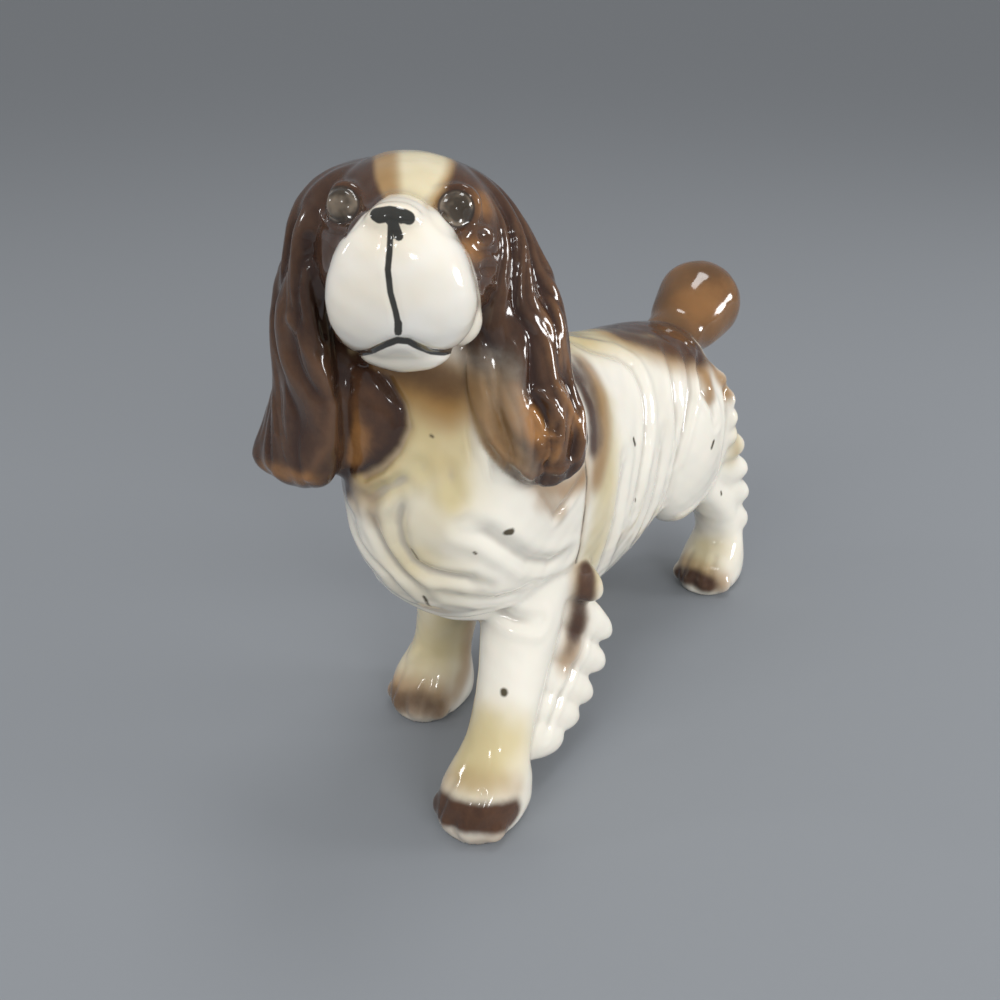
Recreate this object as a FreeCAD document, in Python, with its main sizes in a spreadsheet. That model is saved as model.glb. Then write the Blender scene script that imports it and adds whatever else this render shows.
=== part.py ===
import FreeCAD, Part
import math
import os
import Sketcher

from FreeCAD import Placement, Rotation, Vector

# A standing long-eared spaniel in slip-cast, glazed earthenware, its head raised and turned to its left.
# Each piece is a casting of its own: two hollow halves of the body, a hollow head, two ears, four legs
# and a docked tail. A potter lutes them together with slip before the firing, so every piece ends in
# the exact counterpart of the surface that carries it.
# Frame: millimetres, +Z up, the dog looks towards -Y and its left side is +X. The origin is the middle
# of the figure's footprint, on the surface that the paws stand on.

# Driving sizes in millimetres and degrees: alias, value, what it measures. Places along the body are
# measured from the withers station, the cross-section through the top of the shoulders.
SIZES = (
    ("casting_wall", 3.5, "wall of a hollow casting"),
    ("torso_length", 140.0, "front of the chest to the back of the rump"),
    ("withers_height", 104.0, "table to the top of the shoulders"),
    ("torso_width", 46.0, "across the shoulders"),
    ("seam_ahead", 7.0, "joint between the two halves of the body, ahead of the withers station"),
    ("haunch_length", 44.0, "front to back of the thigh"),
    ("haunch_height", 50.0, "top to bottom of the thigh"),
    ("haunch_thickness", 21.0, "through the thigh"),
    ("haunch_setback", 67.0, "middle of the thigh behind the withers station"),
    ("haunch_middle", 56.0, "table to the middle of the thigh"),
    ("haunch_spread", 27.0, "between the middles of the thighs"),
    ("vent_diameter", 5.0, "air hole pierced in the belly for the firing"),
    ("vent_setback", 22.0, "air hole behind the withers station"),
    ("head_length", 56.0, "back of the skull to the front of the muzzle"),
    ("head_width", 36.0, "across the cheeks"),
    ("head_depth", 40.0, "top of the skull to the underside of the jaw"),
    ("head_height", 131.5, "table to the middle of the skull"),
    ("head_ahead", 37.2, "middle of the skull ahead of the withers station"),
    ("head_aside", 0.2, "middle of the skull to the left of the body's middle plane"),
    ("head_turn", 35.0, "degrees the face is turned to the dog's left"),
    ("head_lift", 14.0, "degrees the muzzle points up"),
    ("eye_diameter", 8.0, "moulded eyeball"),
    ("eye_spacing", 20.0, "between the middles of the eyes"),
    ("eye_ahead", 14.5, "middle of an eyeball ahead of the middle of the skull"),
    ("eye_rise", 6.0, "middle of an eyeball above the middle of the skull"),
    ("nose_width", 9.0, "across the nose pad"),
    ("chin_width", 17.0, "across the chin"),
    ("ear_length", 62.0, "hanging length of an ear"),
    ("ear_width", 24.0, "across an ear at its widest"),
    ("ear_thickness", 9.0, "through an ear"),
    ("foreleg_width", 16.0, "across a foreleg at the forearm"),
    ("foreleg_height", 64.0, "table to the top of a foreleg inside the shoulder"),
    ("hindleg_width", 15.0, "across a hind leg at the hock"),
    ("hindleg_height", 56.0, "table to the top of a hind leg inside the thigh"),
    ("paw_length", 25.0, "heel to toes"),
    ("paw_width", 19.0, "across a paw"),
    ("paw_height", 13.0, "table to the top of a paw"),
    ("fore_track", 36.6, "between the middles of the fore paws"),
    ("hind_track", 36.0, "between the middles of the hind paws"),
    ("shoulder_ahead", 16.0, "top of a foreleg ahead of the withers station"),
    ("left_fore_reach", 40.0, "left fore paw ahead of the withers station"),
    ("right_fore_reach", 13.5, "right fore paw ahead of the withers station"),
    ("hip_setback", 69.0, "top of a hind leg behind the withers station"),
    ("left_hind_setback", 88.0, "left hind paw behind the withers station"),
    ("right_hind_setback", 55.0, "right hind paw behind the withers station"),
    ("lock_width", 7.0, "across a lock of the leg feathering"),
    ("lock_depth", 11.0, "front to back of a lock"),
    ("lock_spread", 6.0, "tip of a lock outside the middle of the paw"),
    ("tail_length", 37.0, "root to tip of the docked tail"),
    ("tail_width", 24.0, "across the tail near its tip"),
    ("tail_root", 18.5, "across the tail at its root"),
    ("tail_seat", 15.0, "depth to which the root of the tail is let into the rump"),
    ("tail_setback", 77.0, "root of the tail behind the withers station"),
    ("tail_height", 78.0, "table to the root of the tail"),
    ("tail_lean", 67.0, "degrees the tail leans back from upright"),
)

RING_COUNT = 16
EAR_RING_COUNT = 24
CUBIC = 3

# Torso sections from the rump to the top of the neck. Each row gives the back point and the belly
# point, as setback in shares of torso_length and height in shares of withers_height, then the half
# width as a share of half torso_width.
TORSO_SHARES = (
    (0.632, 0.690, 0.632, 0.580, 0.20),
    (0.624, 0.745, 0.624, 0.520, 0.42),
    (0.600, 0.795, 0.590, 0.455, 0.62),
    (0.552, 0.835, 0.540, 0.410, 0.78),
    (0.475, 0.866, 0.466, 0.365, 0.87),
    (0.357, 0.892, 0.343, 0.290, 0.89),
    (0.229, 0.918, 0.200, 0.245, 0.92),
    (0.100, 0.958, 0.057, 0.260, 0.97),
    (0.000, 1.005, -0.086, 0.335, 1.02),
    (-0.057, 1.053, -0.225, 0.415, 1.06),
    (-0.093, 1.100, -0.332, 0.535, 1.05),
    (-0.107, 1.145, -0.364, 0.720, 0.89),
    (-0.118, 1.188, -0.371, 0.865, 0.77),
    (-0.143, 1.240, -0.350, 0.990, 0.66),
    (-0.179, 1.279, -0.329, 1.087, 0.54),
)
NECK_OPENING_SHARES = (-0.207, 1.317, -0.307, 1.154, 0.42)
TORSO_HOLLOW_ROWS = slice(2, None)

# How square the sections are: 1 is an ellipse, and more fills its corners out.
TORSO_SQUARE_SHARE = 1.10
PAW_SQUARE_SHARE = 1.15
HEAD_SQUARE_SHARE = 1.075

# Head sections from the back of the skull to the front of the muzzle: station ahead of the middle of
# the skull in shares of head_length, top and underside in shares of head_depth, half width in shares
# of half head_width, and how much wider the section is below than above.
HEAD_SHARES = (
    (-0.357, 0.150, -0.125, 0.39, 0.00),
    (-0.286, 0.300, -0.275, 0.70, 0.00),
    (-0.143, 0.400, -0.375, 0.93, 0.00),
    (0.036, 0.425, -0.410, 0.99, 0.00),
    (0.178, 0.375, -0.450, 0.92, 0.00),
    (0.285, 0.290, -0.475, 0.75, 0.10),
    (0.365, 0.200, -0.500, 0.67, 0.24),
    (0.465, 0.175, -0.490, 0.68, 0.28),
    (0.555, 0.150, -0.425, 0.64, 0.26),
    (0.612, 0.108, -0.325, 0.50, 0.20),
    (0.646, 0.040, -0.210, 0.30, 0.10),
    (0.657, -0.035, -0.135, 0.12, 0.00),
)
HEAD_HOLLOW_ROWS = slice(1, 9)

# The nose pad and the chin: distance ahead in shares of head_length, rise in shares of head_depth,
# then length and height in shares of the feature's own width.
NOSE_SHARES = (0.605, 0.070, 0.70, 0.55)
CHIN_SHARES = (0.360, -0.440, 0.80, 0.55)

# Ear sections from the root on the skull down to the tip, cut level: drop below the middle of the
# skull, distance out from its middle plane and distance ahead, all in shares of ear_length, half
# width and half thickness in shares of half ear_width and half ear_thickness, and how far the flap is
# turned from facing ahead towards facing sideways, in shares of a right angle.
LEFT_EAR_SHARES = (
    (-0.235, 0.110, -0.02, 0.25, 0.40, 0.85),
    (-0.200, 0.170, -0.02, 0.48, 0.85, 0.85),
    (-0.120, 0.225, -0.01, 0.60, 0.98, 0.80),
    (0.000, 0.285, 0.00, 0.72, 1.00, 0.65),
    (0.110, 0.320, 0.02, 0.82, 1.00, 0.52),
    (0.250, 0.340, 0.06, 0.94, 1.05, 0.35),
    (0.400, 0.340, 0.10, 1.00, 1.10, 0.25),
    (0.550, 0.365, 0.12, 1.02, 1.20, 0.25),
    (0.670, 0.410, 0.12, 0.84, 1.00, 0.25),
    (0.735, 0.430, 0.12, 0.56, 0.70, 0.25),
    (0.760, 0.435, 0.12, 0.26, 0.30, 0.25),
)
RIGHT_EAR_SHARES = (
    (-0.245, 0.100, -0.02, 0.25, 0.40, 0.90),
    (-0.222, 0.190, -0.02, 0.52, 0.90, 0.90),
    (-0.140, 0.270, -0.01, 0.66, 1.05, 0.90),
    (0.000, 0.302, -0.01, 0.78, 1.08, 0.85),
    (0.130, 0.345, 0.00, 0.86, 1.05, 0.75),
    (0.300, 0.365, 0.00, 1.00, 1.15, 0.70),
    (0.480, 0.355, 0.01, 1.02, 1.25, 0.65),
    (0.620, 0.385, 0.02, 1.02, 1.30, 0.50),
    (0.710, 0.425, 0.03, 0.96, 1.15, 0.36),
    (0.775, 0.425, 0.03, 0.80, 0.85, 0.36),
    (0.805, 0.415, 0.03, 0.40, 0.35, 0.36),
)
EAR_LOCK_COUNT = 3
LOCK_RELIEF_SHARE = 0.28

# Leg sections from the top down: height in shares of the leg's height, how far the section has moved
# from the top of the leg to the paw, how far it is set back in shares of the leg's width, then half
# width and half depth in shares of half the leg's width.
FORELEG_SHARES = (
    (1.00, 0.00, 0.30, 0.75, 1.30),
    (0.90, 0.05, 0.34, 1.02, 1.60),
    (0.76, 0.16, 0.38, 1.16, 1.75),
    (0.58, 0.40, 0.42, 1.02, 1.58),
    (0.42, 0.66, 0.38, 0.90, 1.34),
    (0.29, 0.86, 0.29, 0.90, 1.10),
)
HINDLEG_SHARES = (
    (1.00, 0.00, 0.00, 0.50, 0.90),
    (0.86, 0.12, 0.06, 0.72, 1.25),
    (0.72, 0.32, 0.14, 0.96, 1.36),
    (0.56, 0.64, 0.28, 1.00, 1.20),
    (0.42, 0.88, 0.36, 0.96, 1.06),
    (0.30, 0.98, 0.34, 0.98, 1.04),
)
LEG_TOP_SHARE = 0.62

# Paw sections from the ankle down to the sole: height in shares of paw_height, distance behind the
# middle of the paw in shares of paw_length, half width and half length in shares of half paw_width
# and half paw_length.
PAW_SHARES = (
    (1.05, 0.10, 0.88, 0.72),
    (0.78, 0.03, 0.98, 0.92),
    (0.48, 0.00, 1.03, 1.01),
    (0.20, 0.00, 1.03, 1.02),
    (0.00, 0.00, 0.90, 0.93),
)

# Toes across the front of a paw: place across and ahead in shares of half the paw's width and length,
# and size in shares of a quarter of the paw's width.
TOE_SHARES = ((-0.70, 0.52, 0.72), (-0.27, 0.74, 0.80), (0.27, 0.74, 0.80), (0.70, 0.52, 0.72))
TOE_CLEARANCE_SHARE = 0.06

# Locks that hang from a leg: height of the root in shares of the leg's height, how far back the tip
# lies in shares of the leg's width, and height of the tip in shares of the leg's height. A foreleg's
# locks hang from the elbow, so its tips are measured from the top of the leg. A hind leg's locks
# follow the leg, so its tips are measured from the leg's middle line. A lock's own sections run from
# its root to its tip, in shares of its length and of half its width.
FORELEG_LOCK_SHARES = (
    (0.95, 1.10, 0.64),
    (0.82, 1.50, 0.40),
    (0.67, 1.32, 0.275),
    (0.54, 0.95, 0.18),
    (0.42, 0.52, 0.135),
    (0.31, 0.05, 0.11),
)
HINDLEG_LOCK_SHARES = (
    (0.97, 1.30, 0.86),
    (0.86, 1.28, 0.68),
    (0.73, 1.10, 0.50),
    (0.58, 0.82, 0.31),
)
FORELEG_FOLLOW_SHARE = 0.0
HINDLEG_FOLLOW_SHARE = 1.0
LOCK_SHARES = ((0.00, 0.80), (0.20, 1.00), (0.50, 1.10), (0.78, 0.95), (0.95, 0.55), (1.00, 0.15))
LOCK_RING_COUNT = 10

doc = FreeCAD.newDocument("spaniel_figure")
sheet = doc.addObject("Spreadsheet::Sheet", "sizes")


def fill_sheet():
    """One row a size: its alias, its value and what it measures."""
    for row, (alias, value, meaning) in enumerate(SIZES, start=1):
        sheet.set(f"A{row}", alias)
        sheet.set(f"B{row}", str(value))
        sheet.set(f"C{row}", meaning)
        sheet.setAlias(f"B{row}", alias)
    doc.recompute()


def size(alias):
    """The value of a driving size."""
    return float(sheet.get(alias))


def ring(middle, across, up, half_width, rise, drop, pear=0.0, square_share=1.0, points=RING_COUNT):
    """The net points of a closed section: half_width each way, rise above the middle, drop below.

    pear above zero narrows the top and widens the bottom. square_share above 1 fills the corners out.
    The surface over a net runs a little inside its points, and fullness makes up for that.
    """
    fullness = 3.0 / (2.0 + math.cos(2.0 * math.pi / points))
    net = []
    for step in range(points):
        turn = 2.0 * math.pi * step / points
        side = math.copysign(abs(math.cos(turn)) ** (1.0 / square_share), math.cos(turn)) * fullness
        high = math.copysign(abs(math.sin(turn)) ** (1.0 / square_share), math.sin(turn)) * fullness
        reach = half_width * side * (1.0 - pear * high)
        net.append(middle + across * reach + up * (high * (rise if high > 0 else drop)))
    return net


def skin(name, rings):
    """A solid with a smooth cubic surface over a net of rings, flat at both ends."""
    along, around = len(rings), len(rings[0])
    surface = Part.BSplineSurface()
    surface.buildFromPolesMultsKnots(
        rings,
        [CUBIC + 1] + [1] * (along - CUBIC - 1) + [CUBIC + 1],
        [1] * (around + 1),
        [float(knot) for knot in range(along - CUBIC + 1)],
        [float(knot) for knot in range(around + 1)],
        False,
        True,
        CUBIC,
        CUBIC,
    )
    first, last = surface.bounds()[:2]
    faces = [surface.toShape()]
    for station in (first, last):
        faces.append(Part.Face(Part.Wire([surface.uIso(station).toShape()])))
    shell = Part.makeShell(faces)
    shell.sewShape()
    solid = Part.Solid(shell)
    if solid.Volume < 0:
        solid.reverse()
    feature = doc.addObject("Part::Feature", name)
    feature.Shape = solid
    return feature


def ellipsoid(name, across, along, height, place):
    """An ellipsoid whose three full widths are expressions of the sheet's sizes."""
    body = doc.addObject("Part::Ellipsoid", name)
    body.setExpression("Radius2", f"({across}) / 2")
    body.setExpression("Radius3", f"({along}) / 2")
    body.setExpression("Radius1", f"({height}) / 2")
    body.Placement = place
    return body


def fuse(name, parts):
    """One solid made of overlapping ones."""
    joined = doc.addObject("Part::MultiFuse", name)
    joined.Shapes = parts
    return joined


def cut(name, base, tool):
    """The base without the tool's space."""
    feature = doc.addObject("Part::Cut", name)
    feature.Base = base
    feature.Tool = tool
    return feature


def common(name, base, tool):
    """The space that the base and the tool share."""
    feature = doc.addObject("Part::Common", name)
    feature.Base = base
    feature.Tool = tool
    return feature


def torso_ring(row, inset):
    """One section of the torso, drawn in by inset all round."""
    back_along, back_up, belly_along, belly_up, width_share = row
    long, high = size("torso_length"), size("withers_height")
    back = Vector(0.0, back_along * long, back_up * high)
    belly = Vector(0.0, belly_along * long, belly_up * high)
    half = (back - belly).Length / 2.0 - inset
    wide = width_share * size("torso_width") / 2.0 - inset
    middle = (back + belly) * 0.5
    up = (back - belly).normalize()
    return ring(middle, Vector(1.0, 0.0, 0.0), up, wide, half, half, square_share=TORSO_SQUARE_SHARE)


def torso_forms():
    """The torso's outer form with its thighs, and the space inside its wall, open at the neck."""
    trunk = skin("trunk_form", [torso_ring(row, 0.0) for row in TORSO_SHARES])
    hollow_rows = TORSO_SHARES[TORSO_HOLLOW_ROWS]
    hollow_rows += (NECK_OPENING_SHARES,)
    hollow = skin("trunk_hollow", [torso_ring(row, size("casting_wall")) for row in hollow_rows])
    thighs = []
    for side, name in ((1.0, "left_thigh"), (-1.0, "right_thigh")):
        widths = ("sizes.haunch_thickness", "sizes.haunch_length", "sizes.haunch_height")
        thigh = ellipsoid(name, *widths, Placement())
        thigh.setExpression("Placement.Base.x", f"{side} * sizes.haunch_spread / 2")
        thigh.setExpression("Placement.Base.y", "sizes.haunch_setback")
        thigh.setExpression("Placement.Base.z", "sizes.haunch_middle")
        thighs.append(thigh)
    return fuse("torso_form", [trunk] + thighs), hollow


def half_space(name, ahead):
    """A block that holds all of the torso ahead of the body seam, or all of it behind."""
    block = doc.addObject("Part::Box", name)
    for side in ("Length", "Width", "Height"):
        block.setExpression(side, "2 * sizes.torso_length")
    block.setExpression("Placement.Base.x", "-sizes.torso_length")
    block.setExpression("Placement.Base.z", "-sizes.torso_length / 2")
    reach = " - 2 * sizes.torso_length" if ahead else ""
    block.setExpression("Placement.Base.y", f"-sizes.seam_ahead{reach}")
    return block


def build_torso(outer, hollow):
    """The front and the rear casting of the body, butted at the seam, with the belly's air hole."""
    shell = cut("torso_shell", outer, hollow)
    front = common("front_body", shell, half_space("front_half", True))
    drill = doc.addObject("Part::Cylinder", "vent_drill")
    drill.setExpression("Radius", "sizes.vent_diameter / 2")
    drill.setExpression("Height", "sizes.withers_height / 2")
    drill.setExpression("Placement.Base.y", "sizes.vent_setback")
    rear_shell = common("rear_shell", shell, half_space("rear_half", False))
    rear = cut("rear_body", rear_shell, drill)
    return front, rear


def head_place(local=Vector(), lifted=True):
    """A place in the head's own frame, whose origin is the middle of the skull."""
    middle = Vector(size("head_aside"), -size("head_ahead"), size("head_height"))
    turn = Rotation(Vector(0.0, 0.0, 1.0), size("head_turn"))
    if lifted:
        turn = turn.multiply(Rotation(Vector(1.0, 0.0, 0.0), -size("head_lift")))
    return Placement(middle, turn).multiply(Placement(local, Rotation()))


def head_ring(row, inset):
    """One section of the head, drawn in by inset all round."""
    ahead, top, under, width_share, pear = row
    deep = size("head_depth")
    middle = Vector(0.0, -ahead * size("head_length"), (top + under) / 2.0 * deep)
    half = (top - under) / 2.0 * deep - inset
    wide = width_share * size("head_width") / 2.0 - inset
    across, up = Vector(1.0, 0.0, 0.0), Vector(0.0, 0.0, 1.0)
    return ring(middle, across, up, wide, half, half, pear, HEAD_SQUARE_SHARE)


def head_boss(name, width, shares):
    """A rounded boss on the middle line of the muzzle, as wide as the expression says."""
    ahead_share, rise_share, long_share, high_share = shares
    middle = Vector(0.0, -ahead_share * size("head_length"), rise_share * size("head_depth"))
    return ellipsoid(name, width, f"{width} * {long_share}", f"{width} * {high_share}", head_place(middle))


def head_forms():
    """The head's outer form with its eyes, nose pad and chin, and the space inside its wall."""
    skull = skin("skull_form", [head_ring(row, 0.0) for row in HEAD_SHARES])
    skull.Placement = head_place()
    hollow_rows = HEAD_SHARES[HEAD_HOLLOW_ROWS]
    hollow = skin("skull_hollow", [head_ring(row, size("casting_wall")) for row in hollow_rows])
    hollow.Placement = head_place()
    features = [skull]
    for side, name in ((1.0, "left_eye"), (-1.0, "right_eye")):
        middle = Vector(side * size("eye_spacing") / 2.0, -size("eye_ahead"), size("eye_rise"))
        eye = doc.addObject("Part::Sphere", name)
        eye.setExpression("Radius", "sizes.eye_diameter / 2")
        eye.Placement = head_place(middle)
        features.append(eye)
    features.append(head_boss("nose_pad", "sizes.nose_width", NOSE_SHARES))
    features.append(head_boss("chin", "sizes.chin_width", CHIN_SHARES))
    return fuse("head_form", features), hollow


def ear_ring(row, side):
    """One level section of an ear, with the ridges of its locks on the outer face."""
    drop, out, ahead, width_share, thick_share, turn_share = row
    long = size("ear_length")
    middle = Vector(side * out * long, -ahead * long, -drop * long)
    turn = turn_share * math.pi / 2.0
    across = Vector(side * math.cos(turn), math.sin(turn), 0.0)
    face = Vector(side * math.sin(turn), -math.cos(turn), 0.0)
    wide = width_share * size("ear_width") / 2.0
    thick = thick_share * size("ear_thickness") / 2.0
    net = []
    for step in range(EAR_RING_COUNT):
        angle = 2.0 * math.pi * step / EAR_RING_COUNT
        reach, height = math.cos(angle), math.sin(angle)
        wave = math.cos(math.pi * (EAR_LOCK_COUNT * reach + 2.0 * drop))
        ridge = LOCK_RELIEF_SHARE * max(height, 0.0) ** 2 * wave
        net.append(middle + across * (wide * reach) + face * (thick * (height + ridge)))
    return net


def build_ear(name, side, rows, carriers):
    """An ear: a wavy flap that lies against the head, the neck and the shoulder."""
    flap = skin(f"{name}_flap", [ear_ring(row, side) for row in rows])
    flap.Placement = head_place(lifted=False)
    return cut(name, cut(f"{name}_seated", flap, carriers[0]), carriers[1])


def leg_ring(row, top, paw, width):
    """One level section of a leg between its top and its paw."""
    height_share, swing_share, set_share, wide_share, deep_share = row
    spot = top + (paw - top) * swing_share
    middle = Vector(spot.x, spot.y + set_share * width, height_share * top.z)
    across, back = Vector(1.0, 0.0, 0.0), Vector(0.0, 1.0, 0.0)
    half = width / 2.0
    return ring(middle, across, back, wide_share * half, deep_share * half, deep_share * half)


def paw_ring(row, paw):
    """One level section of a paw."""
    height_share, set_share, wide_share, long_share = row
    middle = paw + Vector(0.0, set_share * size("paw_length"), height_share * size("paw_height"))
    wide, long = wide_share * size("paw_width") / 2.0, long_share * size("paw_length") / 2.0
    across, back = Vector(1.0, 0.0, 0.0), Vector(0.0, 1.0, 0.0)
    return ring(middle, across, back, wide, long, long, square_share=PAW_SQUARE_SHARE)


def leg_spot(rows, top, paw, share):
    """The middle line of a leg at a height share, worked out between the rows beside it."""
    swing = rows[-1][1]
    for above, below in zip(rows, rows[1:]):
        if above[0] >= share >= below[0]:
            mix = (above[0] - share) / (above[0] - below[0])
            swing = above[1] + (below[1] - above[1]) * mix
    spot = top + (paw - top) * swing
    return Vector(spot.x, spot.y, share * top.z)


def build_lock(name, root, tip):
    """A lock of hair that tapers from its root in the leg to a blunt tip."""
    axis = tip - root
    length = axis.Length
    axis.normalize()
    face = axis.cross(Vector(1.0, 0.0, 0.0)).normalize()
    across = face.cross(axis)
    rings = []
    for along_share, width_share in LOCK_SHARES:
        middle = root + axis * (along_share * length)
        wide, deep = width_share * size("lock_width") / 2.0, width_share * size("lock_depth") / 2.0
        rings.append(ring(middle, across, face, wide, deep, deep, points=LOCK_RING_COUNT))
    return skin(name, rings)


def leg_locks(name, rows, locks, follow_share, top, paw, width):
    """The feathering: locks rooted in the middle of a leg, as the share rows of locks say."""
    made = []
    outer = paw.x + math.copysign(size("lock_spread"), paw.x)
    for number, (root_share, back_share, tip_share) in enumerate(locks, start=1):
        root = leg_spot(rows, top, paw, root_share)
        followed = (leg_spot(rows, top, paw, tip_share).y - top.y) * follow_share
        tip = Vector(outer, top.y + followed + back_share * width, tip_share * top.z)
        made.append(build_lock(f"{name}_lock_{number}", root, tip))
    return made


def toe_forms(name, paw):
    """The four toes across the front of a paw, just clear of the table."""
    toes = []
    for number, (across, ahead, share) in enumerate(TOE_SHARES, start=1):
        toe = doc.addObject("Part::Sphere", f"{name}_toe_{number}")
        toe.setExpression("Radius", f"sizes.paw_width / 4 * {share}")
        rise = (share + TOE_CLEARANCE_SHARE) * size("paw_width") / 4.0
        spot = Vector(across * size("paw_width") / 2.0, -ahead * size("paw_length") / 2.0, rise)
        toe.Placement = Placement(paw + spot, Rotation())
        toes.append(toe)
    return toes


def build_leg(name, top, paw, width, rows, locks, follow_share, carriers):
    """A leg from inside the body down to the flat sole of its paw."""
    rings = [leg_ring(row, top, paw, width) for row in rows] + [paw_ring(row, paw) for row in PAW_SHARES]
    limb = skin(f"{name}_limb", rings)
    pieces = [limb] + toe_forms(name, paw)
    pieces += leg_locks(name, rows, locks, follow_share, top, paw, width)
    return cut(name, fuse(f"{name}_form", pieces), carriers)


def leg_top(track, setback, height):
    """The middle of a leg's top section, inside the body."""
    return Vector(track / 2.0 * LEG_TOP_SHARE, setback, height)


def build_legs(carriers):
    """The four legs in a walk: the left fore and the right hind one are ahead of their partners."""
    legs = []
    for side, word in ((1.0, "left"), (-1.0, "right")):
        across = side * size("fore_track")
        top = leg_top(across, -size("shoulder_ahead"), size("foreleg_height"))
        paw = Vector(across / 2.0, -size(f"{word}_fore_reach"), 0.0)
        width = size("foreleg_width")
        name = f"foreleg_{word}"
        shares = (FORELEG_SHARES, FORELEG_LOCK_SHARES, FORELEG_FOLLOW_SHARE)
        legs.append(build_leg(name, top, paw, width, *shares, carriers))
        across = side * size("hind_track")
        top = leg_top(across, size("hip_setback"), size("hindleg_height"))
        paw = Vector(across / 2.0, size(f"{word}_hind_setback"), 0.0)
        width = size("hindleg_width")
        name = f"hind_leg_{word}"
        shares = (HINDLEG_SHARES, HINDLEG_LOCK_SHARES, HINDLEG_FOLLOW_SHARE)
        legs.append(build_leg(name, top, paw, width, *shares, carriers))
    return legs


def build_tail(carriers):
    """The docked tail: a turned club shape whose narrow root is let into the rump."""
    body = doc.addObject("PartDesign::Body", "tail_body")
    plane = next(item for item in body.Origin.OriginFeatures if item.Role == "XZ_Plane")
    sketch = body.newObject("Sketcher::SketchObject", "tail_profile")
    sketch.AttachmentSupport = (plane, "")
    sketch.MapMode = "FlatFace"
    long, seat = size("tail_length"), size("tail_seat")
    tip, root = size("tail_width") / 2.0, size("tail_root") / 2.0
    foot, heel, rim = Vector(0.0, -seat, 0.0), Vector(root, -seat, 0.0), Vector(root, 0.0, 0.0)
    centre, peak = Vector(0.0, long - tip, 0.0), Vector(0.0, long, 0.0)
    slope = math.atan2(tip - root, long - tip)
    shoulder = centre + Vector(tip * math.cos(slope), -tip * math.sin(slope), 0.0)
    sketch.addGeometry(Part.LineSegment(foot, heel))
    sketch.addGeometry(Part.LineSegment(heel, rim))
    sketch.addGeometry(Part.LineSegment(rim, shoulder))
    circle = Part.Circle(centre, Vector(0.0, 0.0, 1.0), tip)
    sketch.addGeometry(Part.ArcOfCircle(circle, -slope, math.pi / 2.0))
    sketch.addGeometry(Part.LineSegment(peak, foot))
    for rule in (
        ("Coincident", 0, 2, 1, 1),
        ("Coincident", 1, 2, 2, 1),
        ("Coincident", 2, 2, 3, 1),
        ("Coincident", 3, 2, 4, 1),
        ("Coincident", 4, 2, 0, 1),
        ("PointOnObject", 0, 1, -2),
        ("PointOnObject", 1, 2, -1),
        ("PointOnObject", 3, 3, -2),
        ("PointOnObject", 3, 2, -2),
        ("Horizontal", 0),
        ("Vertical", 1),
    ):
        sketch.addConstraint(Sketcher.Constraint(*rule))
    for name, rule, formula in (
        ("root", ("DistanceX", 0, 1, 0, 2, root), "sizes.tail_root / 2"),
        ("seat", ("DistanceY", 0, 1, -1, 1, seat), "sizes.tail_seat"),
        ("tip", ("Radius", 3, tip), "sizes.tail_width / 2"),
        ("length", ("DistanceY", -1, 1, 3, 2, long), "sizes.tail_length"),
    ):
        index = sketch.addConstraint(Sketcher.Constraint(*rule))
        sketch.renameConstraint(index, name)
        sketch.setExpression(f"Constraints.{name}", formula)
    turned = body.newObject("PartDesign::Revolution", "tail_turned")
    turned.Profile = sketch
    turned.ReferenceAxis = (sketch, ["V_Axis"])
    turned.Angle = 360.0
    root_place = Vector(0.0, size("tail_setback"), size("tail_height"))
    body.Placement = Placement(root_place, Rotation(Vector(1.0, 0.0, 0.0), -size("tail_lean")))
    return cut("tail", body, carriers)


def settle(nodes):
    """Moves the whole figure so that the origin is the middle of its footprint."""
    box = Part.makeCompound([node.Shape for node in nodes]).optimalBoundingBox()
    shift = Vector(-(box.XMin + box.XMax) / 2.0, -(box.YMin + box.YMax) / 2.0, 0.0)
    for node in nodes:
        node.Placement = Placement(shift, Rotation())
    doc.recompute()


def check(nodes):
    """Stops on a failed feature or an empty or broken piece."""
    for item in doc.Objects:
        if {"Invalid", "Error"} & set(item.State):
            raise RuntimeError(f"{item.Name} failed: {item.State}")
    for node in nodes:
        if node.Shape.isNull() or not node.Shape.isValid():
            raise RuntimeError(f"{node.Label} has no valid shape")
        if len(node.Shape.Solids) != 1:
            raise RuntimeError(f"{node.Label} has {len(node.Shape.Solids)} solids")


def main():
    """Builds the figure and writes each piece."""
    fill_sheet()
    torso, torso_hollow = torso_forms()
    head, head_hollow = head_forms()
    front, rear = build_torso(torso, torso_hollow)
    head_shell = cut("head_shell", head, head_hollow)
    head_node = cut("head", head_shell, torso)
    left_ear = build_ear("ear_left", 1.0, LEFT_EAR_SHARES, (head, torso))
    right_ear = build_ear("ear_right", -1.0, RIGHT_EAR_SHARES, (head, torso))
    legs = build_legs(torso)
    tail = build_tail(torso)
    nodes = [front, rear, head_node, left_ear, right_ear] + legs + [tail]
    doc.recompute()
    settle(nodes)
    check(nodes)
    os.makedirs("parts", exist_ok=True)
    for node in nodes:
        node.Label = node.Name
        node.Shape.exportStep(f"parts/{node.Label}.step")
        print(node.Label, "at", node.Placement.Base, "volume", round(node.Shape.Volume))


main()
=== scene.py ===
import logging
import math
from dataclasses import dataclass, field
from enum import Enum
from typing import Dict, List, Optional, Sequence, Tuple, Union

import bpy
import numpy as np
from mathutils import Matrix, Vector
from mathutils.bvhtree import BVHTree


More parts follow.
